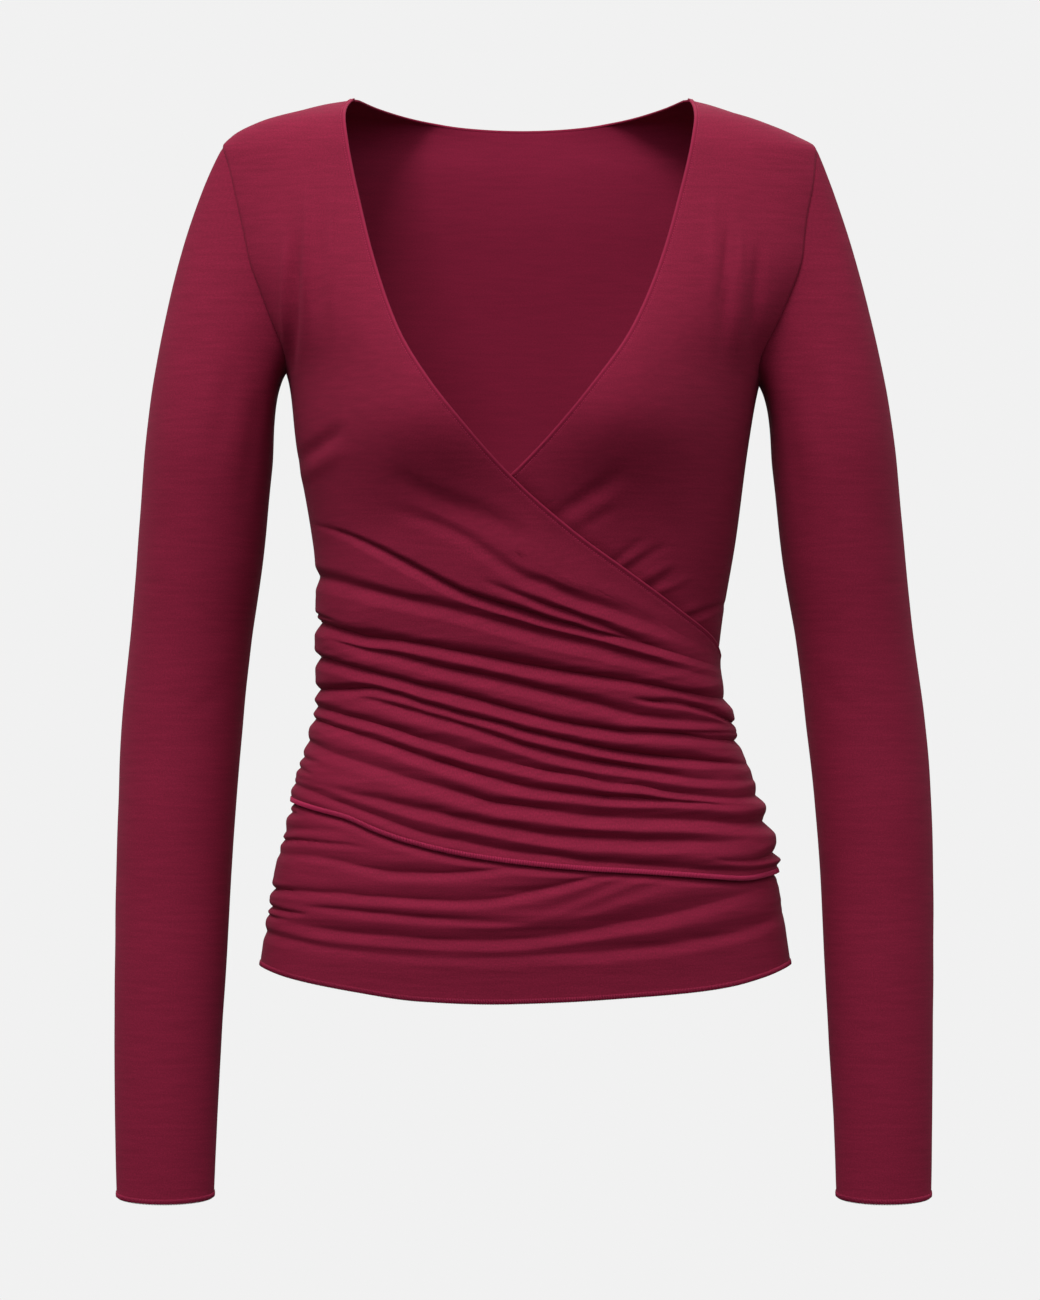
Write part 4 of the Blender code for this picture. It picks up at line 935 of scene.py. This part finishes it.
# %% Sleeve tubes
def sleeve(side):
    """Outer and inner rings of a sleeve from the armhole to the cuff."""
    sign = -1 if side == "right" else 1
    turn = np.arange(RING_POINTS) * 360 / RING_POINTS
    cos_turn, sin_turn = np.cos(np.radians(turn)), np.sin(np.radians(turn))
    angle, height = armhole(side, turn)
    normal = outward(angle, height)
    edge = figure(angle, height) + normal * (WALL - SEAM_DIP)
    away = unit(np.cross(np.roll(edge, -1, axis=0) - np.roll(edge, 1, axis=0), normal) * -sign)
    high = (1 + cos_turn) / 2
    slope = np.radians(CAP_SLOPE[side] * high + UNDERARM_SLOPE * (1 - high))
    leave = np.stack([sign * np.cos(slope), 0 * slope, -np.sin(slope)], axis=-1)
    rise = (leave * normal).sum(axis=1, keepdims=True)
    run = (leave * away).sum(axis=1, keepdims=True)
    start = edge + away * (SEAM_GAP + CLOTH * np.maximum(0, -rise))

    def ring(at):
        centre, wide = section_size("centre_" + side, at), section_size("wide_" + side, at)
        y = -section_size("forward", at) - section_size("deep", at) * sin_turn
        low = ease((TILT_TOP - at) / TILT_HEIGHT)
        return np.stack([sign * (centre + wide * cos_turn), y, at - CUFF_TILT * low * sin_turn], axis=-1)

    first = ring(SECTIONS[0].height)
    reach = np.linalg.norm(first - start, axis=1, keepdims=True)
    down = unit(ring(SECTIONS[1].height) - first)
    rings = []
    for t in np.linspace(0, 1, CAP_RINGS, endpoint=False):
        rings.append((2 * t**3 - 3 * t**2 + 1) * start + (t**3 - 2 * t**2 + t) * leave * reach * CAP_LEAVES
                     + (3 * t**2 - 2 * t**3) * first + (t**3 - t**2) * down * reach * CAP_ARRIVES)
    steps = int((SECTIONS[0].height - SECTIONS[-1].height) / RING_STEP)
    rings += [ring(at) for at in np.linspace(SECTIONS[0].height, SECTIONS[-1].height, steps)]
    rings = np.array(rings)
    across = np.roll(rings, -1, axis=1) - np.roll(rings, 1, axis=1)
    facing = unit(np.cross(np.gradient(rings, axis=0), across)) * -sign
    facing[0] = unit(normal * run - away * rise)
    round_from_outside = np.broadcast_to((turn + 180) % 360 - 180, rings.shape[:2])
    relief = stroke_relief(SLEEVE_STROKES, round_from_outside, rings[..., 2])
    from_cap = lengths(rings, 0)
    relief = relief + SLEEVE_RIPPLE * ripples(round_from_outside / 60, rings[..., 2] / 22)
    relief = relief * ease(from_cap / PLAIN_CAP) + CAP_DIP * np.clip(1 - from_cap / SEAM_WIDE, 0, 1)**2
    outer = rings - facing * relief[..., None]
    return outer, outer - facing * CLOTH


sleeves, sleeve_grids = {}, {}
for side in ("right", "left"):
    outer, inner = sleeve_grids[side] = sleeve(side)
    sleeves[side] = shell("sleeve_" + side, outer, inner, -outer[..., 2], closed=True)

# %% [markdown]
# ## Overlocked edges
# The hem, the cuffs and the lower edge of the wrap are not turned up. They are overlocked: a
# needle thread holds loops that wrap round the cut edge, close together. A striped texture
# could stand for them, but at the outline the edge would stay flat. So each loop is a
# small tube that comes up through the cloth, goes over the edge and back behind it.

# %% Borders and tubes
BEHIND = 4               # rows or columns in from the edge that give the direction into the cloth


def edge_of(outer, inner, line, inside):
    """Edge points, directions into the cloth and face normals of a grid's border."""
    edge, normal = outer[line], unit(outer[line] - inner[line])
    into = outer[inside] - edge
    ahead = unit(np.gradient(edge, axis=0))
    into = unit(into - ahead * (into * ahead).sum(-1, keepdims=True))
    return edge, into, normal


def resample(line, step, closed=False):
    """Evenly spaced places along a line of points, as a function for any list that goes with it."""
    if closed:
        line = np.vstack([line, line[:1]])
    along = np.concatenate([[0], np.cumsum(np.linalg.norm(np.diff(line, axis=0), axis=1))])
    at = np.arange(0.5 * step, along[-1], step)

    def pick(values, ahead=0.0):
        if closed:
            values = np.vstack([values, values[:1]])
        return np.stack([np.interp(at + ahead, along, values[:, k]) for k in range(3)], axis=1)

    return pick


def tubes(name, paths, sides_a, sides_b, corners):
    """One mesh of many small tubes: a path of ring centres for each, and the rings' two half axes."""
    count, rings = paths.shape[:2]
    turn = np.arange(corners) * 2 * np.pi / corners
    ring = (paths[:, :, None] + sides_a[:, :, None] * np.cos(turn)[:, None]
            + sides_b[:, :, None] * np.sin(turn)[:, None])
    index = np.arange(count * rings * corners).reshape(count, rings, corners)
    a, b = index[:, :-1], np.roll(index, -1, axis=2)[:, :-1]
    c, d = np.roll(index, -1, axis=2)[:, 1:], index[:, 1:]
    walls = np.stack([a, b, c, d], axis=-1).reshape(-1, 4)
    caps = [list(face) for face in index[:, 0, ::-1]] + [list(face) for face in index[:, -1]]
    mesh = bpy.data.meshes.new(name)
    mesh.from_pydata((ring.reshape(-1, 3) * MM).tolist(), [], walls.tolist() + caps)
    mesh.shade_smooth()
    piece = bpy.data.objects.new(name, mesh)
    bpy.context.scene.collection.objects.link(piece)
    print(name, count, "tubes", 2 * len(walls) + len(caps) * (corners - 2), "triangles")
    return piece


# %% Overlocked hem, cuffs and lower edge of the wrap
Stitch = namedtuple("Stitch", "pitch bite thread slant")
HEM_STITCH = Stitch(pitch=0.95, bite=2.9, thread=0.30, slant=0.8)
LOOP_WIDER = 1.15        # a loop lies a little flat on the cloth


def overlock(name, edge, into, normal, stitch, closed=False):
    """Loops of thread wrapped round a cut edge of cloth."""
    pick = resample(edge, stitch.pitch, closed)
    r, thick = stitch.thread, CLOTH
    # along the edge, into the cloth, out from its face: from the needle line round to the back
    route = ((0.0, 1.0, 0.10), (0.35, 0.55, r), (0.75, 0.10, 0.9 * r), (0.95, -0.12, -0.5 * thick),
             (0.75, 0.10, -thick - 0.9 * r), (0.35, 0.55, -thick - r), (0.0, 1.0, -thick - 0.10))
    paths = []
    for along, deep, out in route:
        ahead = along * stitch.slant * stitch.pitch
        paths.append(pick(edge, ahead) + pick(into, ahead) * deep * stitch.bite + pick(normal, ahead) * out)
    paths = np.stack(paths, axis=1)
    forward = unit(np.gradient(paths, axis=1))
    aside = unit(np.cross(forward, pick(normal)[:, None] + pick(into)[:, None] * 0.4))
    return tubes(name, paths, aside * r * LOOP_WIDER, np.cross(forward, aside) * r, 5)


last_row, row_behind = (-1,), (-1 - BEHIND,)
stitches = {}
for name, grid in (("hem_front_stitches", (left_outer, left_inner)),
                   ("hem_back_stitches", (back_outer, back_inner)),
                   ("wrap_edge_stitches", (right_outer, right_inner))):
    stitches[name] = overlock(name, *edge_of(*grid, last_row, row_behind), HEM_STITCH)
for side in ("right", "left"):
    name = "cuff_stitches_" + side
    cuff = edge_of(*sleeve_grids[side], last_row, (-2,))
    stitches[name] = overlock(name, *cuff, HEM_STITCH, closed=True)

# %% [markdown]
# ## The rolled neck edge
# Both neck edges and the back neck are rolled to the inside and held by a row of short stitches.
# The roll could be modelled by folding the shell over, but its ring of faces would have to be
# very fine. So it is a slim oval cord of the same cloth that follows the edge, with each
# stitch a short tube in the groove beside it.

# %% Rolled neck edges and their stitches
NECK_STITCH = Stitch(pitch=1.7, bite=1.1, thread=0.2, slant=0)
NECK_ROLL_WIDE, NECK_ROLL_THICK = 0.95, 0.7   # half sizes of the rolled edge
ROLL_IN = 0.75           # how far its middle lies in from the edge, as a share of its width
ROLL_STEP = 1.2
ROLL_TAPER = 5           # it grows from half its size over this length at both ends


def rolled_edge(name, edge, into, normal):
    """A neck edge rolled to the inside: an oval cord of cloth along the edge."""
    pick = resample(edge, ROLL_STEP)
    centre = pick(edge) + pick(into) * NECK_ROLL_WIDE * ROLL_IN - pick(normal) * CLOTH / 2
    paths = centre[None]
    forward = unit(np.gradient(paths, axis=1))
    wide = unit(pick(into)[None] - forward * (pick(into)[None] * forward).sum(-1, keepdims=True))
    along = lengths(paths, 1)[..., None]
    slim = 0.5 + 0.5 * ease(np.minimum(along, along[:, -1:] - along) / ROLL_TAPER)
    thick = np.cross(wide, forward) * NECK_ROLL_THICK
    return tubes(name, paths, thick * slim, wide * NECK_ROLL_WIDE * slim, 12)


def stitch_row(name, edge, into, normal):
    """A row of short stitches that holds the rolled neck edge down."""
    pick = resample(edge, NECK_STITCH.pitch)
    paths = []
    for along, out in ((-0.5, -0.25), (-0.3, 0.1), (0.3, 0.1), (0.5, -0.25)):
        ahead = along * NECK_STITCH.bite
        paths.append(pick(edge, ahead) + pick(into, ahead) * NECK_LINE
                     + pick(normal, ahead) * (out - NECK_GROOVE + NECK_STITCH.thread / 2))
    paths = np.stack(paths, axis=1)
    aside = np.broadcast_to(pick(into)[:, None], paths.shape)
    out = np.broadcast_to(pick(normal)[:, None], paths.shape)
    return tubes(name, paths, aside * NECK_STITCH.thread, out * NECK_STITCH.thread, 5)


over_neck_behind = (slice(0, over_neck_rows), -1 - BEHIND)
under_neck_behind = (slice(0, under_neck_rows), -1 - BEHIND)
neck_borders = {
    "right": edge_of(right_outer, right_inner, over_neck, over_neck_behind),
    "left": edge_of(left_outer, left_inner, under_neck, under_neck_behind),
    "back": edge_of(back_outer, back_inner, back_neck, (BEHIND - 2, back_neck[1])),
}
rolls = {}
for side, border in neck_borders.items():
    rolls["neck_edge_" + side] = rolled_edge("neck_edge_" + side, *border)
for side, border in neck_borders.items():
    rolls["neck_stitches_" + side] = stitch_row("neck_stitches_" + side, *border)

# %% [markdown]
# ## The jersey's surface
# Jersey is a knit: fine columns of V-shaped stitches, about 2 to a millimetre, with a faint
# unevenness in the yarn and dye. One node group makes the stitch relief and the two kinds of
# unevenness from each point's place on the flat cloth, and the cloth and the threads use
# it with their own sizes. A photo of cloth would repeat and blur, this doesn't.

# %% Node group for the knit
def add_node(tree, kind, inputs=None, **settings):
    """A node with its settings and inputs; an input is a value or another node's output."""
    node = tree.nodes.new(kind)
    for name, value in settings.items():
        setattr(node, name, value)
    for key, value in (inputs or {}).items():
        if isinstance(value, bpy.types.NodeSocket):
            tree.links.new(value, node.inputs[key])
        else:
            node.inputs[key].default_value = value
    return node


def math(tree, operation, *values):
    """Output of a Math node."""
    return add_node(tree, "ShaderNodeMath", dict(enumerate(values)), operation=operation).outputs[0]


def knit_group():
    """Stitch height, yarn speckle and dye streaks from a place on the flat cloth."""
    tree = bpy.data.node_groups.new("jersey knit", "ShaderNodeTree")
    for name, kind, value in (("Place", "NodeSocketVector", None), ("Wale", "NodeSocketFloat", 0.0006),
                              ("Course", "NodeSocketFloat", 0.0005)):
        socket = tree.interface.new_socket(name, in_out="INPUT", socket_type=kind)
        if value:
            socket.default_value = value
    for name in ("Stitch", "Speckle", "Streak"):
        tree.interface.new_socket(name, in_out="OUTPUT", socket_type="NodeSocketFloat")
    given = tree.nodes.new("NodeGroupInput")
    result = tree.nodes.new("NodeGroupOutput")
    place = add_node(tree, "ShaderNodeSeparateXYZ", {0: given.outputs["Place"]})
    column = math(tree, "FRACT", math(tree, "DIVIDE", place.outputs["X"], given.outputs["Wale"]))
    from_middle = math(tree, "MULTIPLY", math(tree, "ABSOLUTE", math(tree, "SUBTRACT", column, 0.5)), 2.0)
    slanted = math(tree, "MULTIPLY_ADD", from_middle, 0.5,
                   math(tree, "DIVIDE", place.outputs["Y"], given.outputs["Course"]))
    course = math(tree, "ABSOLUTE", math(tree, "SUBTRACT", math(tree, "FRACT", slanted), 0.5))
    rib = math(tree, "SUBTRACT", 1.0, math(tree, "MULTIPLY", from_middle, from_middle))
    stitch = math(tree, "MULTIPLY_ADD", course, 0.8, math(tree, "MULTIPLY", rib, 0.6))
    speckle = add_node(tree, "ShaderNodeTexNoise",
                       {"Vector": given.outputs["Place"], "Scale": 1100.0, "Detail": 3.0, "Roughness": 0.65})
    stretched = add_node(tree, "ShaderNodeVectorMath",
                         {0: given.outputs["Place"], 1: (0.09, 1.0, 1.0)}, operation="MULTIPLY")
    streak = add_node(tree, "ShaderNodeTexNoise",
                      {"Vector": stretched.outputs[0], "Scale": 420.0, "Detail": 2.5, "Roughness": 0.6})
    tree.links.new(stitch, result.inputs["Stitch"])
    tree.links.new(speckle.outputs[0], result.inputs["Speckle"])
    tree.links.new(streak.outputs[0], result.inputs["Streak"])
    return tree


KNIT = knit_group()
print(KNIT.name, "has", len(KNIT.nodes), "nodes")

# %% [markdown]
# ## Cloth and thread
# Crimson viscose jersey is matt, with a little sheen where it turns away. Its reverse, which
# shows inside the neck, is lighter: partly its own paler loops, partly painted light that lifts
# the shaded inside of the garment. The rolled neck edge is the same jersey made lighter, a
# painted highlight along the roll. The hem and cuffs are overlocked in thread of the cloth's own
# colour. The wrap's lower edge and the neck stitches have a brighter thread on a rounder yarn,
# its lightness partly its own and partly painted sheen, so these show as a lighter line. Every
# finish is the same material with its own colours, so they can't drift apart.

# %% A material of jersey or thread
KNIT_SIZE = {"wale": 0.0006, "course": 0.0005}       # metres from stitch to stitch, across and down
THREAD_SIZE = {"wale": 0.0004, "course": 0.0004}
STREAK_SHARE, SPECKLE_SHARE = 0.28, 0.72             # how the two kinds of unevenness mix
RAMP_START, RAMP_END = 0.32, 0.68
ROUGH_SPREAD = 0.16
STREAK_RELIEF = 0.3
RELIEF_HEIGHT = 0.00012


def cloth_material(name, colours, roughness, relief, sheen, wale, course):
    """Jersey or thread: speckled and streaked colour, and a fine stitch relief."""
    material = bpy.data.materials.new(name)
    material.use_nodes = True
    tree = material.node_tree
    shader = tree.nodes["Principled BSDF"]
    place = add_node(tree, "ShaderNodeAttribute", attribute_name="cloth_place")
    knit = add_node(tree, "ShaderNodeGroup", {}, node_tree=KNIT)
    tree.links.new(place.outputs["Vector"], knit.inputs["Place"])
    knit.inputs["Wale"].default_value = wale
    knit.inputs["Course"].default_value = course
    mixed = math(tree, "MULTIPLY_ADD", knit.outputs["Streak"], STREAK_SHARE,
                 math(tree, "MULTIPLY", knit.outputs["Speckle"], SPECKLE_SHARE))
    ramp = add_node(tree, "ShaderNodeValToRGB", {0: mixed})
    steps = ramp.color_ramp.elements
    steps[0].position, steps[0].color = RAMP_START, colours[0]
    steps[1].position, steps[1].color = RAMP_END, colours[-1]
    for number, colour in enumerate(colours[1:-1], 1):
        steps.new(RAMP_START + (RAMP_END - RAMP_START) * number / (len(colours) - 1)).color = colour
    tree.links.new(ramp.outputs[0], shader.inputs["Base Color"])
    rough = math(tree, "MULTIPLY_ADD", knit.outputs["Speckle"], ROUGH_SPREAD, roughness - ROUGH_SPREAD / 2)
    tree.links.new(rough, shader.inputs["Roughness"])
    height = math(tree, "MULTIPLY_ADD", knit.outputs["Streak"], STREAK_RELIEF, knit.outputs["Stitch"])
    bump = add_node(tree, "ShaderNodeBump",
                    {"Strength": relief, "Distance": RELIEF_HEIGHT, "Height": height})
    tree.links.new(bump.outputs[0], shader.inputs["Normal"])
    shader.inputs["Sheen Weight"].default_value = sheen
    shader.inputs["Sheen Roughness"].default_value = 0.45
    shader.inputs["Sheen Tint"].default_value = (1.0, 0.28, 0.42, 1)
    shader.inputs["Specular IOR Level"].default_value = 0.12
    return material


# %% The five finishes
JERSEY = (0.145, 0.007, 0.0250, 1), (0.200, 0.0096, 0.0343, 1), (0.265, 0.013, 0.046, 1)
# reverse: its own paler loops, plus painted light that lifts the shaded inside
REVERSE_WITH_PAINTED_LIGHT = (0.19, 0.0095, 0.034, 1), (0.28, 0.014, 0.050, 1)
# rolled neck edge: the same jersey made lighter, a painted highlight along the roll
ROLLED_PAINTED_HIGHLIGHT = (0.205, 0.010, 0.036, 1), (0.29, 0.014, 0.052, 1)
HEM_THREAD = (0.19, 0.009, 0.034, 1), (0.28, 0.014, 0.052, 1)
# wrap edge and neck stitches: the thread's own brighter colour plus painted sheen
THREAD_WITH_PAINTED_SHEEN = (0.30, 0.014, 0.056, 1), (0.47, 0.024, 0.096, 1)

# name, colours from dark to light, roughness, strength of the relief, sheen, size of a stitch
jersey = cloth_material("crimson_jersey", JERSEY, 0.85, 0.45, 0.05, **KNIT_SIZE)
reverse = cloth_material("jersey_reverse_painted_light", REVERSE_WITH_PAINTED_LIGHT, 0.88, 0.5, 0.05, **KNIT_SIZE)
rolled = cloth_material("jersey_edge_painted_highlight", ROLLED_PAINTED_HIGHLIGHT, 0.82, 0.45, 0.08, **KNIT_SIZE)
hem_thread = cloth_material("hem_thread", HEM_THREAD, 0.7, 0.35, 0.1, **THREAD_SIZE)
thread = cloth_material("crimson_thread_painted_sheen", THREAD_WITH_PAINTED_SHEEN, 0.62, 0.35, 0.25, **THREAD_SIZE)
print("finishes", [one.name for one in (jersey, reverse, rolled, hem_thread, thread)])

# %% [markdown]
# ## What each piece stands for
# Every shell takes the place of one imported solid and moves with the one body of the garment.
# A table also lists the size each piece was cut to, and its area is printed beside the measured
# one: the fronts are cut far longer than they look, because their side seams are gathered.

# %% Trims
FINISH = {               # how a trim's name starts: its finish
    "neck_edge": rolled, "hem": hem_thread, "cuff": hem_thread, "wrap_edge": thread, "neck_stitches": thread,
}
trims = {**stitches, **rolls}
for trim in trims.values():
    trim.data.materials.append(next(FINISH[start] for start in FINISH if trim.name.startswith(start)))
    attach(trim, "root")
print(len(trims), "trims")

# %% The five pieces of cloth
CUTS = {                 # node: piece, width and length of the cut, its area
    "right_front": (right_front, (0.46, 0.42), 0.125),
    "left_front": (left_front, (0.46, 0.58), 0.160),
    "back": (back, (0.42, 0.56), 0.190),
    "right_sleeve": (sleeves["right"], (0.32, 0.65), 0.140),
    "left_sleeve": (sleeves["left"], (0.32, 0.65), 0.140),
}
for node, (piece, cut, area) in CUTS.items():
    piece.data.materials.append(jersey)
    piece.data.materials.append(reverse)
    # the inner faces get the reverse, which carries painted light for the shaded inside
    facing_in = np.zeros(len(piece.data.polygons), np.int32)
    facing_in[inner_faces[piece.name]] = 1
    piece.data.polygons.foreach_set("material_index", facing_in)
    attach(piece, "root")
    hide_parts(node)
    cloth_area = sum(face.area for face in piece.data.polygons) / 2
    print(node, "cut", area, "square metres, measured", round(cloth_area, 4))

# %% [markdown]
# ## The floor
# The garment hangs in front of a plain pale ground. A white sheet that is lit like one would
# take shadows and throw light back up under the folds. So the floor glows by itself, as pale
# as the air behind it, and is left out of the light that falls on the cloth.

# %% Floor
PALE = (0.880, 0.880, 0.880, 1)
FLOOR_HEIGHT, FLOOR_REACH = -0.76, 40

scene = bpy.context.scene
corners = [(x * FLOOR_REACH, y * FLOOR_REACH, FLOOR_HEIGHT) for x, y in ((-1, -1), (1, -1), (1, 1), (-1, 1))]
floor_mesh = bpy.data.meshes.new("studio_floor")
floor_mesh.from_pydata(corners, [], [(0, 1, 2, 3)])
floor = bpy.data.objects.new("studio_floor", floor_mesh)
scene.collection.objects.link(floor)
floor_material = bpy.data.materials.new("pale_floor")
floor_material.use_nodes = True
floor_shader = floor_material.node_tree.nodes["Principled BSDF"]
floor_shader.inputs["Base Color"].default_value = (0, 0, 0, 1)
floor_shader.inputs["Roughness"].default_value = 1.0
floor_shader.inputs["Specular IOR Level"].default_value = 0.0
floor_shader.inputs["Emission Color"].default_value = PALE
floor_shader.inputs["Emission Strength"].default_value = 1.0
floor_mesh.materials.append(floor_material)
floor.visible_diffuse = floor.visible_glossy = floor.visible_shadow = False
print("floor at", FLOOR_HEIGHT, "m")

# %% [markdown]
# ## Light
# A dome of soft light comes mostly from above, so the undersides of the folds stay dark. A large
# soft box stands high on the wearer's right, a wide weak one low in front lifts the deepest
# shades, and one behind lights the back. The camera sees the plain ground in place of the dome:
# a gradient behind the garment would change its outline's contrast.

# %% Air and dome
DOME_BOTTOM, DOME_TOP = -0.3, 0.95     # the dome's light rises between these levels, of -1 to 1
DOME_DIM, DOME_BRIGHT = 0.05, 1.40

scene.view_settings.view_transform = "Standard"
world = bpy.data.worlds.new("studio_air")
scene.world = world
world.use_nodes = True
air = world.node_tree
ground = air.nodes["Background"]
spot = add_node(air, "ShaderNodeTexCoord")
height_in_air = add_node(air, "ShaderNodeSeparateXYZ", {0: spot.outputs["Generated"]})
dome = add_node(air, "ShaderNodeMapRange",
                {"Value": height_in_air.outputs["Z"], "From Min": DOME_BOTTOM, "From Max": DOME_TOP,
                 "To Min": DOME_DIM, "To Max": DOME_BRIGHT})
dome_light = add_node(air, "ShaderNodeBackground", {"Color": (1, 1, 1, 1), "Strength": dome.outputs[0]})
ground.inputs["Color"].default_value = PALE
seen = add_node(air, "ShaderNodeLightPath")
both = add_node(air, "ShaderNodeMixShader", {0: seen.outputs["Is Camera Ray"], 1: dome_light.outputs[0],
                                             2: ground.outputs[0]})
air.links.new(both.outputs[0], air.nodes["World Output"].inputs["Surface"])
print("dome from", DOME_DIM, "to", DOME_BRIGHT)


# %% Soft boxes
CHEST = (0, 0, -0.30)


def soft_light(name, place, aim, size, watts):
    """A square soft box that faces a point."""
    lamp = bpy.data.lights.new(name, "AREA")
    lamp.size, lamp.energy = size, watts
    box = bpy.data.objects.new(name, lamp)
    box.location = place
    box.rotation_euler = (Vector(aim) - Vector(place)).to_track_quat("-Z", "Y").to_euler()
    scene.collection.objects.link(box)
    print(name, watts, "W")


soft_light("key", (-0.7, -1.5, 2.0), CHEST, 1.0, 50)
soft_light("fill", (0.2, -2.6, -0.9), CHEST, 1.6, 3)
soft_light("back_light", (0.2, 2.2, 1.5), CHEST, 1.2, 20)

# %% [markdown]
# ## Camera
# The camera stands level with the middle of the garment, three metres away. A wide lens up close
# would show more of the shoulders' tops and make the nearer sleeves larger. A long one
# sees the garment almost without distortion, as a shop's photograph does.

# %% Camera
CAMERA_FAR, CAMERA_SIDE, CAMERA_HEIGHT = 3.0, -0.0018, -0.331
SENSOR_HEIGHT, FOCAL_LENGTH = 36, 138.5
lens = bpy.data.cameras.new("camera")
lens.sensor_fit, lens.sensor_height, lens.lens = "VERTICAL", SENSOR_HEIGHT, FOCAL_LENGTH
lens.clip_end = 200
camera = bpy.data.objects.new("camera", lens)
camera.location = (CAMERA_SIDE, -CAMERA_FAR, CAMERA_HEIGHT)
camera.rotation_euler = (np.pi / 2, 0, 0)
scene.collection.objects.link(camera)
scene.camera = camera
print("the frame is", round(CAMERA_FAR * SENSOR_HEIGHT / FOCAL_LENGTH, 3), "m high at the garment")
